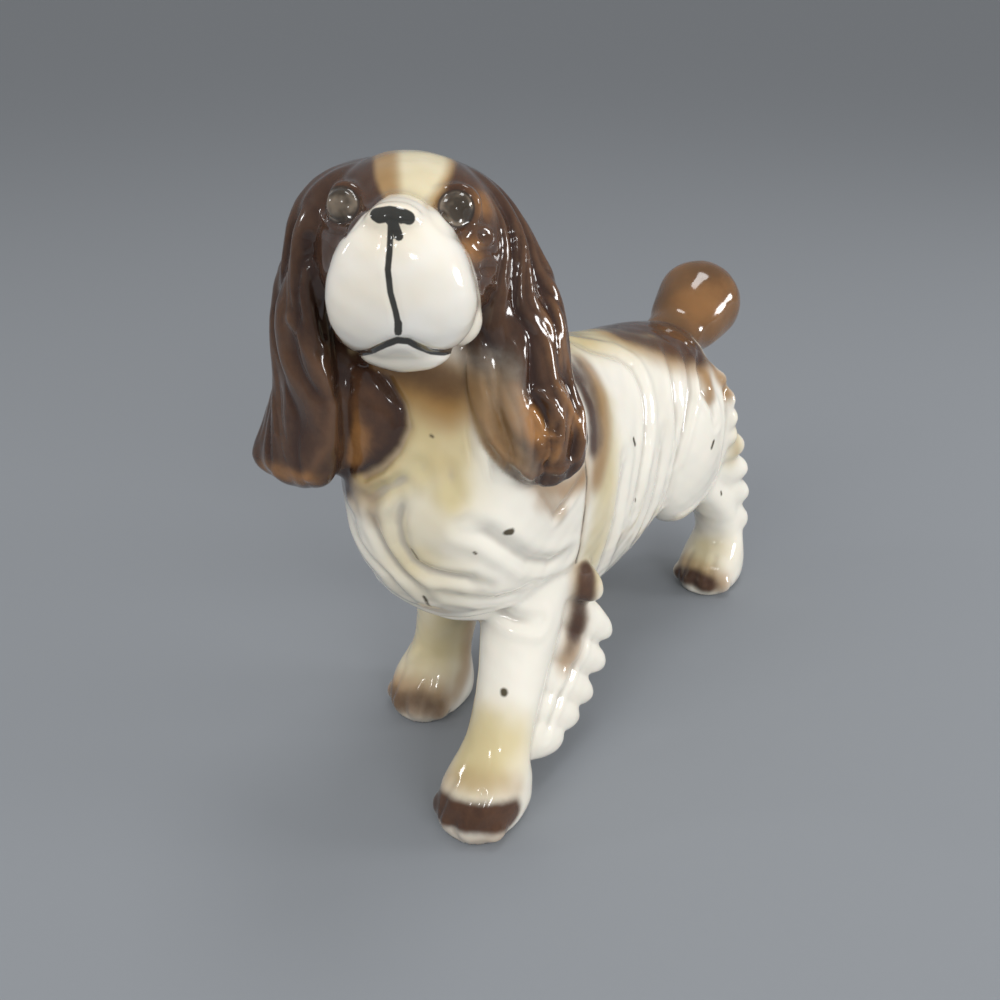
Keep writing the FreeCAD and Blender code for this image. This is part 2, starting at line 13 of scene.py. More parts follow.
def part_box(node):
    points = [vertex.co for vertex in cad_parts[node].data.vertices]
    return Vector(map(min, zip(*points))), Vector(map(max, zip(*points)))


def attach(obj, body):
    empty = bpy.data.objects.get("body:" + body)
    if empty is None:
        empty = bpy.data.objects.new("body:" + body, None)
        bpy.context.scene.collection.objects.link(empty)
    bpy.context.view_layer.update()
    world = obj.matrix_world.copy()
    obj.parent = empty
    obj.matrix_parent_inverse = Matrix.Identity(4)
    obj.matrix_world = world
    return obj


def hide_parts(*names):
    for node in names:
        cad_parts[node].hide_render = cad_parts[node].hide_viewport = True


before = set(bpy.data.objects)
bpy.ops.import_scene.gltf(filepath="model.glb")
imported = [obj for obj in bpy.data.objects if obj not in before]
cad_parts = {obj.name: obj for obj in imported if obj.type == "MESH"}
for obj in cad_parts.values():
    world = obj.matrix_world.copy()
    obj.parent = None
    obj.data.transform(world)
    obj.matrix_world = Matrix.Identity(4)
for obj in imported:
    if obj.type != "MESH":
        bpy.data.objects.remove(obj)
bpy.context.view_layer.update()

logging.basicConfig(level=logging.INFO, format="%(message)s")
log = logging.getLogger("spaniel")

Points = Sequence[Tuple[float, ...]]
Number = Union[float, bpy.types.NodeSocket]
Colour = Union[Tuple[float, float, float, float], bpy.types.NodeSocket]

# Modelling numbers are millimetres in the figure's design frame unless said otherwise. Its zero along the
# body is the withers station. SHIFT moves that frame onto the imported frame, read from the seam and the
# middle plane.
MM = 0.001
SEAM_AHEAD = 7.0
SHIFT = np.array([
    (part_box("rear_body")[0].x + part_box("rear_body")[1].x) / 2.0 / MM,
    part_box("front_body")[1].y / MM + SEAM_AHEAD,
    0.0,
])

# The skin's voxel, and the rounds of softening: everywhere, on the smooth parts and on the feathering.
VOXEL = 0.5
SOFTENING = ((6, 6, 26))
# Rounds that blend the sprayed colours into one another.
BLENDING = 8
# How far outside a casting's box a point of the skin may still be its own, and the rounds in which
# stray points follow their neighbours.
OWNER_MARGIN = 3.0
SETTLING = 12
# How deep a casting's cut rim is turned in, and the height under which the soles are ground flat.
CAP_DEPTH = 1.2
SOLE_HEIGHT = 0.35
# A distance that stands for nowhere near.
FAR = 9.0

# The head's own frame: middle of the skull, degrees turned to its left, and the plane its face looks
# along, given by the direction across, the direction up and the direction out of the face.
SKULL = np.array([0.2, -37.2, 131.5])
HEAD_TURN = math.radians(35.0)
FACE_ACROSS = np.array([0.7592, 0.6508, 0.0])
FACE_UP = np.array([-0.1598, 0.1865, 0.9694])
FACE_OUT = np.cross(FACE_ACROSS, FACE_UP)


class Slot(Enum):
    """The record's material slots."""

    CREAM = "cream_glaze"
    LIVER = "liver_glaze"


# The slot of each casting, and groups of castings.
SLOT_OF = {
    "front_body": Slot.CREAM,
    "rear_body": Slot.CREAM,
    "head": Slot.CREAM,
    "foreleg_left": Slot.CREAM,
    "foreleg_right": Slot.CREAM,
    "hind_leg_left": Slot.CREAM,
    "hind_leg_right": Slot.CREAM,
    "ear_left": Slot.LIVER,
    "ear_right": Slot.LIVER,
    "tail": Slot.LIVER,
}
NODES = tuple(SLOT_OF)
FORE = ("front_body",)
REAR = ("rear_body",)
TORSO = ("front_body", "rear_body")
FORELEG_AND_CHEST = ("foreleg_left", "front_body")
LEGS = ("foreleg_left", "foreleg_right", "hind_leg_left", "hind_leg_right")


@dataclass(frozen=True)
class Groove:
    """A tooled line in the clay. A negative depth is a raised ridge."""

    points: Points
    radius: float
    depth: float


@dataclass(frozen=True)
class Spray:
    """A soft stroke of colour: strength falls off from the line by a flat-topped bell of this radius."""

    points: Points
    radius: float
    strength: float
    nodes: Tuple[str, ...] = ()


@dataclass(frozen=True)
class Ink:
    """A crisp painted line or spot of a stated half width."""

    points: Points
    radius: float


@dataclass(frozen=True)
class Finish:
    """A glazed finish: colours as sRGB hex, and the fixed values of its surface."""

    name: str
    cream: str
    warm: str
    tan: str
    liver_dark: str
    liver_light: str
    ink: str
    roughness: float
    coat: float
    furrow_shade: str = "A9A196"
    amber: str = "966A3E"
    muzzle: str = "DFDCD5"
    muzzle_warm: str = "DAD0BC"
    glass_dark: str = "3C342B"
    glass_reflection: str = "75695B"
    eye_rim: str = "2E241D"
    speck_and_shade: str = "4E4635"
    index: float = 1.5
    coat_roughness: float = 0.03
    bleed: float = 0.05
    bleed_depth: float = 0.002


@dataclass(frozen=True)
class Lamp:
    """A soft box: where it stands, its size and power, and whether the glaze mirrors it."""

    name: str
    place: Tuple[float, float, float]
    width: float
    height: float
    power: float
    colour: Tuple[float, float, float] = (1.0, 1.0, 1.0)
    mirrored: bool = True


# Fired lead-type glaze over white earthenware, airbrushed with liver brown under the glaze: a hard, wet
# gloss with small glints, and a faint ripple where the glaze has run.
CREAM_FINISH = Finish(
    name="cream_glaze", cream="E0DBCF", warm="C4B58A", tan="8C6632", liver_dark="38261D",
    liver_light="64452E", ink="33322E", roughness=0.12, coat=0.35,
)
LIVER_FINISH = Finish(
    name="liver_glaze", cream="D0CABC", warm="BDAE86", tan="8C6632", liver_dark="34221A",
    liver_light="5E4431", ink="2C2A28", roughness=0.13, coat=0.35,
)
# Noise scales to the metre: patches of about 20 mm, grain of about 2 mm, the painted reflections in the eyes
# of about 4 mm, and the ripple of the glaze, about 5 mm wide and this many millimetres high.
BROAD_PATCHES = 45.0
FINE_GRAIN = 420.0
EYE_REFLECTION_SCALE = 260.0
GLAZE_RIPPLE = 190.0
RIPPLE_HEIGHT = 0.12

# Balls of extra clay: the middle and the three half widths of each. Eyes, jowls and chin stand in the face
# plane, and the rest in the design frame.
EYES = ((-12.0, 6.2, 12.1), (7.6, 5.0, 14.0))
EYEBALL = (3.3, 3.2, 3.0)
JOWLS = (((7.0, -13.4, 15.7), (4.6, 5.0, 6.0)), ((-10.6, -14.0, 15.0), (4.6, 5.0, 6.0)))
CHIN = ((-1.8, -19.0, 20.5), (6.6, 2.8, 5.0))
INNER_FOLD_CLAY = (((-12.0, -48.0, 99.5), (7.0, 6.0, 16.0)), ((-3.5, -46.6, 98.5), (8.4, 5.0, 12.0)))
HAIR_KNOB = ((27.3, -30.6, 94.0), (3.2, 3.4, 3.6))
HAUNCH_SCALLOPS = ((18.6, 76.0, 73.0), (20.6, 78.2, 67.0), (21.6, 80.0, 61.0), (21.6, 81.2, 55.0))
SCALLOP = (3.2, 3.2, 3.6)

# The air hole under the belly: where its dimple lies in the glaze, with painted shade in it, and the plug of
# clay that closes it.
VENT = (0.0, 22.0, 26.0)
PLUG_MIDDLE = (0.0, 22.0, 30.6)
PLUG_RADIUS = 3.0
PLUG_DEPTH = 6.0

# Tooled furrows of the chest, the flanks and the haunches.
GROOVES = (
    Groove(((7.1, -50.2, 86.5), (5.7, -50.6, 82.9), (4.9, -50.4, 78.0), (4.9, -49.8, 73.1),
           (6.3, -48.5, 68.9), (9.3, -47.1, 66.8), (12.7, -44.8, 65.4), (15.7, -41.9, 64.3),
           (17.3, -38.4, 61.5)), 1.5, 1.1),
    Groove(((-2.2, -51.0, 79.6), (-1.4, -50.4, 74.9), (0.3, -49.7, 70.3), (2.5, -48.7, 66.7),
           (5.1, -47.2, 62.9), (6.8, -44.4, 58.1)), 1.4, 0.95),
    Groove(((-9.8, -48.5, 75.0), (-8.4, -48.1, 69.7), (-5.5, -47.9, 65.6), (-1.7, -47.3, 62.1),
           (0.5, -44.9, 57.1)), 1.4, 0.85),
    Groove(((-7.3, -50.0, 80.9), (-1.2, -51.2, 83.0), (4.1, -51.0, 86.6), (7.5, -50.0, 89.6),
           (9.4, -49.0, 91.9)), 1.4, 0.9),
    Groove(((-3.0, -51.3, 84.6), (3.7, -50.9, 89.4), (6.9, -49.9, 92.6)), 0.9, -0.7),
    Groove(((17.0, -44.0, 78.5), (19.4, -40.5, 76.2), (20.9, -37.6, 73.1), (21.8, -33.8, 69.2),
           (22.2, -28.2, 64.6), (22.1, -19.9, 60.0), (22.2, -12.4, 58.4)), 1.7, 1.0),
    Groove(((-9.0, -44.0, 50.0), (-3.0, -42.0, 46.5), (4.0, -38.0, 45.5), (10.0, -33.5, 47.5),
           (14.0, -29.3, 48.6), (17.5, -26.7, 46.8), (20.8, -22.0, 44.6)), 1.5, 1.0),
    Groove(((14.4, -45.2, 94.1), (14.7, -45.5, 90.0), (15.5, -45.1, 85.0)), 1.3, 0.6),
    Groove(((15.5, -42.3, 100.7), (16.3, -42.6, 95.7), (17.3, -42.4, 89.5)), 0.6, -0.65),
    Groove(((17.6, -40.4, 96.3), (18.8, -39.5, 91.6), (19.9, -39.0, 86.0)), 0.6, -0.65),
    Groove(((24.5, -29.9, 84.5), (24.1, -25.4, 78.8), (24.1, -21.2, 73.4), (24.0, -16.2, 75.0),
           (23.6, -9.0, 77.8)), 1.1, 0.6),
    Groove(((12.0, -44.0, 60.5), (16.0, -39.5, 57.5), (20.0, -33.0, 54.5), (22.4, -25.0, 53.5)), 1.6,
           0.7),
    Groove(((-16.0, -41.0, 66.0), (-12.5, -43.5, 60.0), (-8.0, -44.5, 56.0)), 1.5, 0.7),
    Groove(((6.4, 15.9, 98.3), (8.8, 22.7, 95.3), (10.6, 28.7, 92.7), (13.5, 32.3, 88.8),
           (16.5, 32.1, 84.2), (18.8, 30.6, 78.7), (20.5, 28.3, 72.1), (21.5, 24.7, 65.4),
           (21.8, 22.0, 55.0)), 1.8, 0.95),
    Groove(((12.5, 53.8, 86.8), (16.2, 50.2, 82.1), (18.6, 48.1, 76.2), (20.2, 47.5, 68.1),
           (20.0, 46.0, 60.0)), 1.6, 0.8),
    Groove(((13.4, 62.4, 84.6), (16.4, 60.1, 80.6), (18.5, 57.1, 75.6), (19.7, 53.7, 71.1),
           (20.3, 50.8, 66.3), (19.6, 47.0, 56.0), (17.5, 47.0, 46.0)), 1.5, 1.0),
    Groove(((13.5, 73.3, 81.6), (17.6, 64.9, 78.9), (20.2, 62.2, 74.4), (22.2, 65.5, 69.5),
           (23.4, 66.3, 64.1)), 1.4, 0.9),
    Groove(((19.0, 76.0, 75.0), (22.0, 75.5, 66.0), (23.6, 75.0, 57.0), (22.0, 76.0, 46.0)), 1.5, 0.7),
    Groove(((17.4, 12.0, 38.1), (20.4, 10.0, 47.7), (21.8, 10.7, 55.9), (22.1, 12.3, 63.7),
           (21.6, 14.3, 72.9)), 1.8, 0.8),
    Groove(((19.0, 32.0, 41.0), (21.0, 35.0, 50.0), (21.4, 37.0, 60.0), (20.4, 38.5, 70.0)), 1.8, 0.6),
    Groove(((23.4, -2.3, 33.9), (23.3, -4.6, 29.2), (22.5, -8.8, 24.4), (23.4, -14.2, 21.4),
           (23.8, -19.4, 18.3), (24.7, -23.8, 13.8)), 1.0, 0.5),
)

# Soft swellings of the chest: middle, radius and height.
BOSSES = (
    ((12.8, -47.1, 77.9), 6.5, 1.1),
    ((19.2, -33.4, 60.2), 5.0, 0.8),
    ((-7.0, -49.0, 69.0), 5.0, 0.6),
)

# Places in the face plane: millimetres across and up from the middle of the skull.
MUZZLE_EDGE = (
    (-3.5, 7.3), (-5.7, 5.5), (-8.0, 3.5), (-10.3, 0.8), (-12.6, -2.3), (-14.2, -5.9), (-14.8, -9.3),
    (-14.6, -13.2), (-13.0, -17.0), (-10.9, -19.0), (-8.3, -20.6), (-3.3, -22.4), (2.0, -22.2),
    (6.6, -19.9), (9.4, -18.6), (11.9, -16.8), (12.6, -14.4), (11.5, -10.9), (10.7, -6.9), (9.5, -2.9),
    (7.3, 0.5), (4.7, 3.7), (2.2, 6.0), (-0.6, 7.2),
)
# The two edges of the blaze: heights up the face, and how far across the edge lies at each.
BLAZE_RIGHT = ((-2.0, 6.5, 10.2, 20.0), (-4.4, -4.4, -5.8, -6.4))
BLAZE_LEFT = ((6.4, 8.2, 11.9, 13.5, 20.0), (3.9, 5.4, 7.3, 7.9, 8.4))
CENTRE_LINE = ((-3.5, 2.3), (-3.8, -1.2), (-4.3, -4.9), (-4.1, -8.3), (-3.4, -11.4), (-3.0, -14.3))
MOUTH_LINE = (
    (-9.9, -18.6), (-7.7, -17.9), (-5.4, -16.7), (-3.5, -16.0), (-1.7, -16.2), (0.3, -17.4), (2.3, -18.4),
    (4.5, -18.8), (6.3, -18.6),
)
FACE_INKS = (
    Ink(((-5.6, 3.4), (-3.6, 3.6), (-1.6, 3.2), (-0.8, 2.8)), 1.05),
    Ink(((-5.2, 3.0), (-3.4, 3.2), (-1.6, 2.9)), 0.95),
    Ink(CENTRE_LINE, 0.48),
    Ink(((-3.1, -13.2), (-3.2, -14.6)), 0.62),
    Ink(((-2.9, 1.6), (-2.4, 0.1)), 0.72),
    Ink(MOUTH_LINE, 0.58),
)
CURLS = (((12.6, -4.8), 1.8), ((13.4, -9.4), 1.6), ((12.2, 0.4), 1.5))

# Dark spots in the glaze.
SPECKLES = (
    Ink(((6.7, -49.1, 72.4), (7.6, -48.5, 70.5)), 0.62),
    Ink(((21.6, -36.2, 75.5), (21.9, -35.6, 75.4)), 0.85),
    Ink(((17.4, -33.7, 57.0), (18.4, -32.8, 57.0)), 0.5),
    Ink(((18.7, -33.2, 31.2), (18.9, -33.0, 30.6)), 0.9),
    Ink(((20.6, 20.3, 75.2), (20.8, 21.0, 73.8)), 0.6),
    Ink(((23.7, 64.8, 59.0), (23.8, 64.0, 57.6)), 0.7),
    Ink(((21.6, 80.7, 35.9), (21.7, 81.0, 34.9)), 0.5),
    Ink(((21.5, 22.9, 57.9), (21.5, 23.0, 57.4)), 0.4),
    Ink(((17.6, -42.2, 72.1), (17.7, -42.1, 72.0)), 0.3),
    Ink(((6.2, -44.8, 58.3), (5.8, -42.3, 54.5)), 0.42),
    Ink(((11.4, -46.9, 98.0), (11.4, -46.8, 97.9)), 0.3),
    Ink(((-21.0, 12.0, 70.0), (-21.2, 12.4, 69.6)), 0.6),
    Ink(((-20.5, 44.0, 60.0), (-20.4, 44.4, 59.0)), 0.5),
    Ink(((-19.0, -38.0, 74.0), (-19.3, -37.4, 73.4)), 0.6),
    Ink(((-22.6, 70.0, 60.0), (-22.7, 70.3, 59.3)), 0.6),
)

# Each ear by drop from the skull: shares of its length out to the side and ahead, its width and its turn.
EAR_ROWS = {
    "ear_left": (1.0, (
        (-0.235, 0.110, -0.02, 0.25, 0.85), (-0.120, 0.225, -0.01, 0.60, 0.80),
        (0.000, 0.285, 0.00, 0.72, 0.65), (0.110, 0.320, 0.02, 0.82, 0.52),
        (0.250, 0.340, 0.06, 0.94, 0.35), (0.400, 0.340, 0.10, 1.00, 0.25),
        (0.550, 0.365, 0.12, 1.02, 0.25), (0.760, 0.435, 0.12, 0.80, 0.25),
    )),
    "ear_right": (-1.0, (
        (-0.245, 0.100, -0.02, 0.25, 0.90), (-0.140, 0.270, -0.01, 0.66, 0.90),
        (0.000, 0.302, -0.01, 0.78, 0.85), (0.130, 0.345, 0.00, 0.86, 0.75),
        (0.300, 0.365, 0.00, 1.00, 0.70), (0.480, 0.355, 0.01, 1.02, 0.65),
        (0.620, 0.385, 0.02, 1.02, 0.50), (0.805, 0.415, 0.03, 0.95, 0.36),
    )),
}
# Each ear: locks across its half width, height of the locks and height of the drawn strands.
EAR_HAIR = (("ear_left", 1.6, 1.3, 0.40), ("ear_right", 1.25, 1.35, 0.16))
# Single folds and curls on the ears.
EAR_RIDGES = (
    Groove(((28.0, -28.6, 106.0), (28.9, -26.6, 102.7), (30.4, -24.1, 98.0), (31.0, -23.8, 93.6),
           (30.6, -25.2, 90.4), (29.4, -29.3, 88.8), (27.0, -32.6, 89.2)), 0.7, -0.75),
    Groove(((25.3, -32.2, 105.8), (28.0, -30.3, 102.7), (29.4, -29.0, 99.4), (29.8, -29.9, 95.6),
           (28.0, -31.5, 96.6), (26.7, -32.5, 99.0), (25.4, -33.6, 102.4)), 0.65, -0.75),
    Groove(((14.6, -39.3, 112.7), (16.2, -40.3, 106.4), (18.2, -40.5, 101.7), (20.3, -39.5, 96.7),
           (23.0, -37.3, 92.0), (26.0, -34.0, 88.6)), 0.9, -0.9),
    Groove(((18.2, -38.8, 110.7), (20.2, -39.3, 104.4), (22.6, -38.5, 99.0), (25.3, -36.5, 94.7)), 0.9,
           0.5),
    Groove(((-10.3, -53.8, 133.9), (-9.0, -54.9, 125.2), (-7.9, -53.4, 116.2)), 1.3, 1.0),
    Groove(((-14.1, -56.1, 118.7), (-8.0, -56.1, 110.9), (-6.7, -54.6, 102.9), (-7.4, -55.3, 94.8),
           (-13.1, -56.9, 86.2)), 1.2, -0.8),
    Groove(((-5.0, -47.0, 110.0), (1.5, -48.0, 107.5), (5.6, -48.6, 103.5), (7.0, -49.2, 99.2),
           (5.2, -50.4, 94.5), (1.5, -51.2, 90.4), (-3.0, -51.6, 87.4)), 1.1, 1.0),
)
# The edge of the right ear's inner fold where it lies on the neck, in millimetres across and up.
INNER_FOLD = (
    (-16.0, 114.0), (-5.0, 110.5), (1.5, 107.8), (5.4, 103.5), (6.6, 99.2), (5.0, 94.5), (1.5, 90.6),
    (-3.0, 87.6), (-8.0, 85.6), (-16.0, 84.0),
)

# Where the middle of the tail's root meets the rump.
TAIL_ROOT = np.array([0.0, 77.0, 78.0])
# Where the middle of each pastern meets the floor.
PAWS = {
    "foreleg_left": (18.3, -40.0), "foreleg_right": (-18.3, -13.5),
    "hind_leg_left": (18.0, 88.0), "hind_leg_right": (-18.0, 55.0),
}

# Airbrushed strokes of each colour.
LIVER_SPRAYS = (
    Spray(((-12.0, -43.0, 110.0), (-10.4, -46.3, 100.4), (-12.3, -48.2, 84.0)), 6.0, 1.2, FORE),
    Spray(((0.0, -47.0, 111.0), (9.0, -45.6, 109.4), (14.0, -42.8, 107.6)), 4.8, 0.62, FORE),
    Spray(((16.0, -38.0, 108.0), (20.0, -34.0, 102.0), (22.0, -30.0, 94.0)), 4.0, 0.8, FORE),
    Spray(((8.0, -8.0, 116.0), (14.0, -4.0, 104.0), (17.2, 0.0, 96.0), (20.0, 0.6, 89.6),
          (22.0, -2.4, 82.0)), 3.4, 0.9, TORSO),
    Spray(((13.1, 5.4, 97.4), (17.1, 4.8, 92.3), (20.1, 1.8, 86.9), (21.6, 0.5, 82.5)), 4.0, 0.62,
          REAR),
    Spray(((-8.0, -8.0, 116.0), (-14.0, -4.0, 104.0), (-17.2, 0.0, 96.0), (-20.0, 0.6, 89.6)), 4.2, 0.9,
          TORSO),
    Spray(((0.0, -12.0, 125.0), (0.0, -6.0, 115.0), (0.0, -2.0, 109.0)), 10.0, 1.0, TORSO),
    Spray(((9.0, -8.0, 110.0), (13.0, -3.0, 103.0), (16.0, 1.0, 96.0)), 6.0, 0.8, TORSO),
    Spray(((-9.0, -8.0, 110.0), (-13.0, -3.0, 103.0), (-16.0, 1.0, 96.0)), 6.0, 0.8, TORSO),
    Spray(((0.0, 50.0, 91.0), (0.0, 64.0, 87.5), (0.0, 80.0, 82.0)), 9.0, 1.1, REAR),
    Spray(((-9.0, 58.0, 90.0), (0.0, 56.0, 91.5), (9.0, 62.0, 87.4), (12.0, 70.4, 84.0),
          (0.0, 74.0, 84.0), (-10.0, 70.0, 84.0)), 7.4, 1.2, REAR),
    Spray(((-4.0, 43.2, 93.5), (4.6, 41.7, 93.6), (7.9, 46.9, 91.0), (10.6, 54.0, 88.4),
          (13.2, 61.4, 84.6), (14.0, 70.8, 81.9)), 4.8, 0.8, REAR),
    Spray(((-4.6, 43.0, 93.4), (-9.0, 50.0, 90.4), (-13.4, 64.0, 84.4)), 5.4, 0.9, REAR),
    Spray(((23.6, -4.0, 50.8), (24.4, -5.6, 45.9), (23.4, -5.6, 39.3), (22.8, -7.0, 34.0)), 3.9, 0.95,
          FORELEG_AND_CHEST),
    Spray(((22.6, -8.0, 33.0), (22.8, -10.0, 30.6)), 2.6, 0.55, ("foreleg_left",)),
    Spray(((11.0, -50.0, 6.0), (17.5, -52.5, 8.0), (24.2, -50.3, 8.4), (28.0, -43.3, 6.6)), 3.8, 1.3,
          ("foreleg_left",)),
    Spray(((-24.0, -24.0, 5.0), (-20.2, -26.1, 5.6), (-14.5, -24.1, 7.6), (-10.6, -22.4, 5.9)), 4.4,
          0.66, ("foreleg_right",)),
    Spray(((12.0, 78.0, 4.0), (17.1, 75.7, 6.1), (22.8, 75.8, 4.7)), 3.6, 1.0, ("hind_leg_left",)),
    Spray(((-25.0, 47.0, 4.0), (-18.0, 42.5, 4.6), (-11.0, 46.0, 4.0)), 3.6, 0.95, ("hind_leg_right",)),
)
TAN_SPRAYS = (
    Spray(((0.0, -47.0, 110.0), (8.3, -46.1, 108.4), (13.5, -43.8, 105.7)), 9.0, 0.95, FORE),
    Spray(((9.5, -46.9, 104.0), (11.7, -45.9, 99.0), (13.0, -45.6, 92.0)), 5.4, 0.34, FORE),
    Spray(((6.2, -48.9, 99.2), (3.0, -50.5, 93.0), (-2.5, -51.0, 86.5), (-6.8, -50.1, 79.7)), 4.4, 0.55,
          FORE),
    Spray(((-8.1, -50.6, 84.0), (-1.3, -51.2, 82.3), (-1.2, -50.8, 77.5)), 3.4, 0.62, FORE),
    Spray(((27.4, -33.7, 88.2), (24.2, -24.1, 81.6), (24.1, -17.3, 77.9), (23.6, -9.0, 77.8)), 4.2,
          0.85, FORE),
    Spray(((24.1, -27.0, 79.6), (24.1, -18.6, 73.0)), 3.4, 0.7, FORE),
    Spray(((14.3, 8.6, 96.3), (18.6, 7.5, 89.6), (21.2, 4.1, 83.0), (22.6, -1.0, 75.2)), 6.0, 0.85,
          REAR),
    Spray(((22.6, -6.0, 82.0), (23.4, -7.0, 70.0), (23.0, -7.0, 58.0), (23.0, -6.6, 50.0)), 1.8, 0.6,
          TORSO),
    Spray(((-15.3, 8.6, 95.3), (-19.0, 5.5, 88.6), (-21.2, 4.1, 82.0)), 6.0, 0.8, REAR),
    Spray(((-6.0, 26.0, 97.0), (6.0, 22.0, 98.0), (10.0, 40.0, 92.6)), 5.5, 0.35, REAR),
    Spray(((4.0, 38.0, 94.0), (10.0, 46.0, 90.0), (14.0, 58.0, 84.6), (15.6, 69.0, 80.6)), 7.0, 0.75,
          REAR),
    Spray(((13.7, 68.5, 82.9), (18.9, 66.3, 77.3), (21.4, 64.8, 72.0)), 3.2, 0.9, REAR),
    Spray(((13.6, 75.0, 82.6), (19.6, 73.6, 75.9), (21.6, 76.6, 70.0)), 3.4, 0.85, REAR),
    Spray(((-14.6, 73.0, 82.6), (-19.0, 66.0, 76.0)), 4.6, 0.85, REAR),
    Spray(((21.9, 84.0, 53.0), (23.5, 84.5, 48.6)), 2.4, 0.45, ("rear_body", "hind_leg_left")),
    Spray(((23.6, -5.0, 52.0), (24.4, -6.0, 44.0), (23.4, -7.4, 34.0), (22.8, -10.6, 28.6)), 5.6, 0.75,
          FORELEG_AND_CHEST),
    Spray(((12.0, -47.0, 11.5), (18.4, -47.4, 14.9), (24.5, -45.0, 15.0), (27.8, -40.1, 12.6)), 4.6,
          0.5, ("foreleg_left",)),
    Spray(((12.0, -54.0, 1.0), (22.0, -54.0, 1.4), (28.0, -47.0, 1.4)), 4.6, 0.6, ("foreleg_left",)),
    Spray(((-11.0, -9.0, 36.0), (-10.3, -8.0, 18.5), (-9.8, -9.8, 11.5), (-8.9, -16.2, 6.5)), 4.4, 0.7,
          ("foreleg_right",)),
    Spray(((-24.0, -24.0, 6.0), (-17.0, -25.0, 8.0), (-10.6, -22.0, 7.0)), 8.0, 0.85,
          ("foreleg_right",)),
    Spray(((12.5, 78.0, 8.0), (18.0, 76.0, 8.4), (26.0, 78.6, 5.0)), 5.4, 0.7, ("hind_leg_left",)),
    Spray(((-23.5, 46.0, 8.0), (-17.2, 44.0, 8.6), (-12.6, 47.6, 7.0)), 5.4, 0.6, ("hind_leg_right",)),
)
WARM_SPRAYS = (
    Spray(((-8.0, -46.0, 106.0), (6.0, -47.0, 102.0), (10.0, -47.0, 94.0), (0.0, -50.0, 90.0)), 11.0,
          1.0),
    Spray(((15.0, -43.0, 106.0), (15.0, -45.0, 96.0), (14.0, -46.0, 86.0)), 6.0, 0.9),
    Spray(((12.0, -46.0, 86.0), (4.0, -50.5, 78.0), (6.0, -49.5, 70.0)), 9.0, 0.6),
    Spray(((10.0, -44.0, 66.0), (0.0, -44.0, 58.0)), 11.0, 0.35),
    Spray(((0.0, 8.0, 104.0), (0.0, 40.0, 96.0), (0.0, 66.0, 88.0)), 14.0, 1.0),
    Spray(((20.0, 8.0, 88.0), (22.0, 4.0, 76.0), (22.6, 2.0, 62.0), (22.0, 0.0, 48.0)), 8.0, 0.75),
    Spray(((-20.0, 8.0, 88.0), (-22.0, 4.0, 76.0), (-22.6, 2.0, 62.0)), 8.0, 0.75),
    Spray(((18.4, -42.0, 17.0), (18.4, -36.0, 20.0)), 10.0, 0.9),
    Spray(((-12.0, -11.0, 44.0), (-14.0, -13.0, 28.0), (-17.0, -16.0, 13.0)), 11.0, 0.9),
    Spray(((18.0, 84.0, 12.0), (18.0, 78.0, 9.0)), 7.5, 0.8),
    Spray(((-18.0, 51.0, 12.0), (-18.0, 48.0, 9.0)), 7.5, 0.8),
    Spray(((22.0, 84.0, 60.0), (23.0, 84.5, 46.0)), 5.0, 0.6),
)
AMBER_SPRAYS = (
    Spray(((22.0, -37.5, 105.5), (24.6, -35.5, 102.0), (26.5, -33.1, 98.7)), 4.2, 1.0),
    Spray(((28.2, -31.6, 92.8), (28.0, -31.0, 94.4)), 2.8, 0.9),
    Spray(((26.0, -26.0, 122.0), (28.4, -26.1, 112.0), (30.4, -25.1, 99.0)), 4.6, 0.7),
    Spray(((-9.0, -46.0, 104.5), (-6.7, -48.3, 100.0), (-4.0, -50.0, 96.0), (-6.5, -49.6, 91.3)), 4.6,
          1.0, FORE),
    Spray(((-30.0, -52.0, 84.0), (-22.4, -58.5, 86.0), (-12.0, -58.0, 85.0)), 3.4, 0.8),
)

# The lights and the camera of the photograph. Lamps are placed in metres and aim at TARGET.
LAMPS = (
    Lamp("key", (-0.1, -0.75, 0.66), 0.42, 0.42, 2.0, (1.0, 0.98, 0.95), False),
    Lamp("side", (0.9, -0.42, 0.36), 0.58, 0.44, 3.9, (0.96, 0.98, 1.0), False),
    Lamp("top", (0.05, 0.15, 1.0), 0.34, 0.28, 1.8),
    Lamp("back", (0.8, 0.5, 0.22), 0.34, 0.24, 3.6),
    Lamp("left", (-0.8, -0.5, 0.5), 0.11, 0.11, 0.55),
    Lamp("spark_near", (0.2, -0.8, 0.62), 0.09, 0.09, 0.4),
    Lamp("spark_side", (0.72, -0.58, 0.52), 0.1, 0.08, 0.55),
)
TARGET = Vector((0.0, -0.01, 0.075))
# Strength of the even light from all round.
WORLD_LIGHT = 0.72
# The grey of the table and the backdrop.
BACKDROP = "808489"
# The camera: its place in the design frame, its direction in degrees, lens and sensor in millimetres.
CAMERA_PLACE = (122.4, -183.5, 174.7)
CAMERA_AZIMUTH = 34.84
CAMERA_ELEVATION = 27.29
CAMERA_LENS = 35.86
SENSOR = 36.0
FLOOR_SIZE = 60.0
FLOOR_DROP = 0.0002
FLOOR_ROUGHNESS = 0.9


def polyline_distance(places: np.ndarray, points: Points) -> np.ndarray:
    """Distance from each place to a line of points.

    Args:
        places: One row a place.
        points: Corners of the line, in the same units and axes.

    Returns:
        The distance of every place.
    """
    line = np.asarray(points, float)
    best = np.full(len(places), 1e9)
    for start, end in zip(line, line[1:]):
        along = end - start
        share = np.clip(((places - start) @ along) / max(along @ along, 1e-9), 0.0, 1.0)
        gap = places - start - share[:, None] * along
        best = np.minimum(best, np.sqrt((gap * gap).sum(1)))
    return best


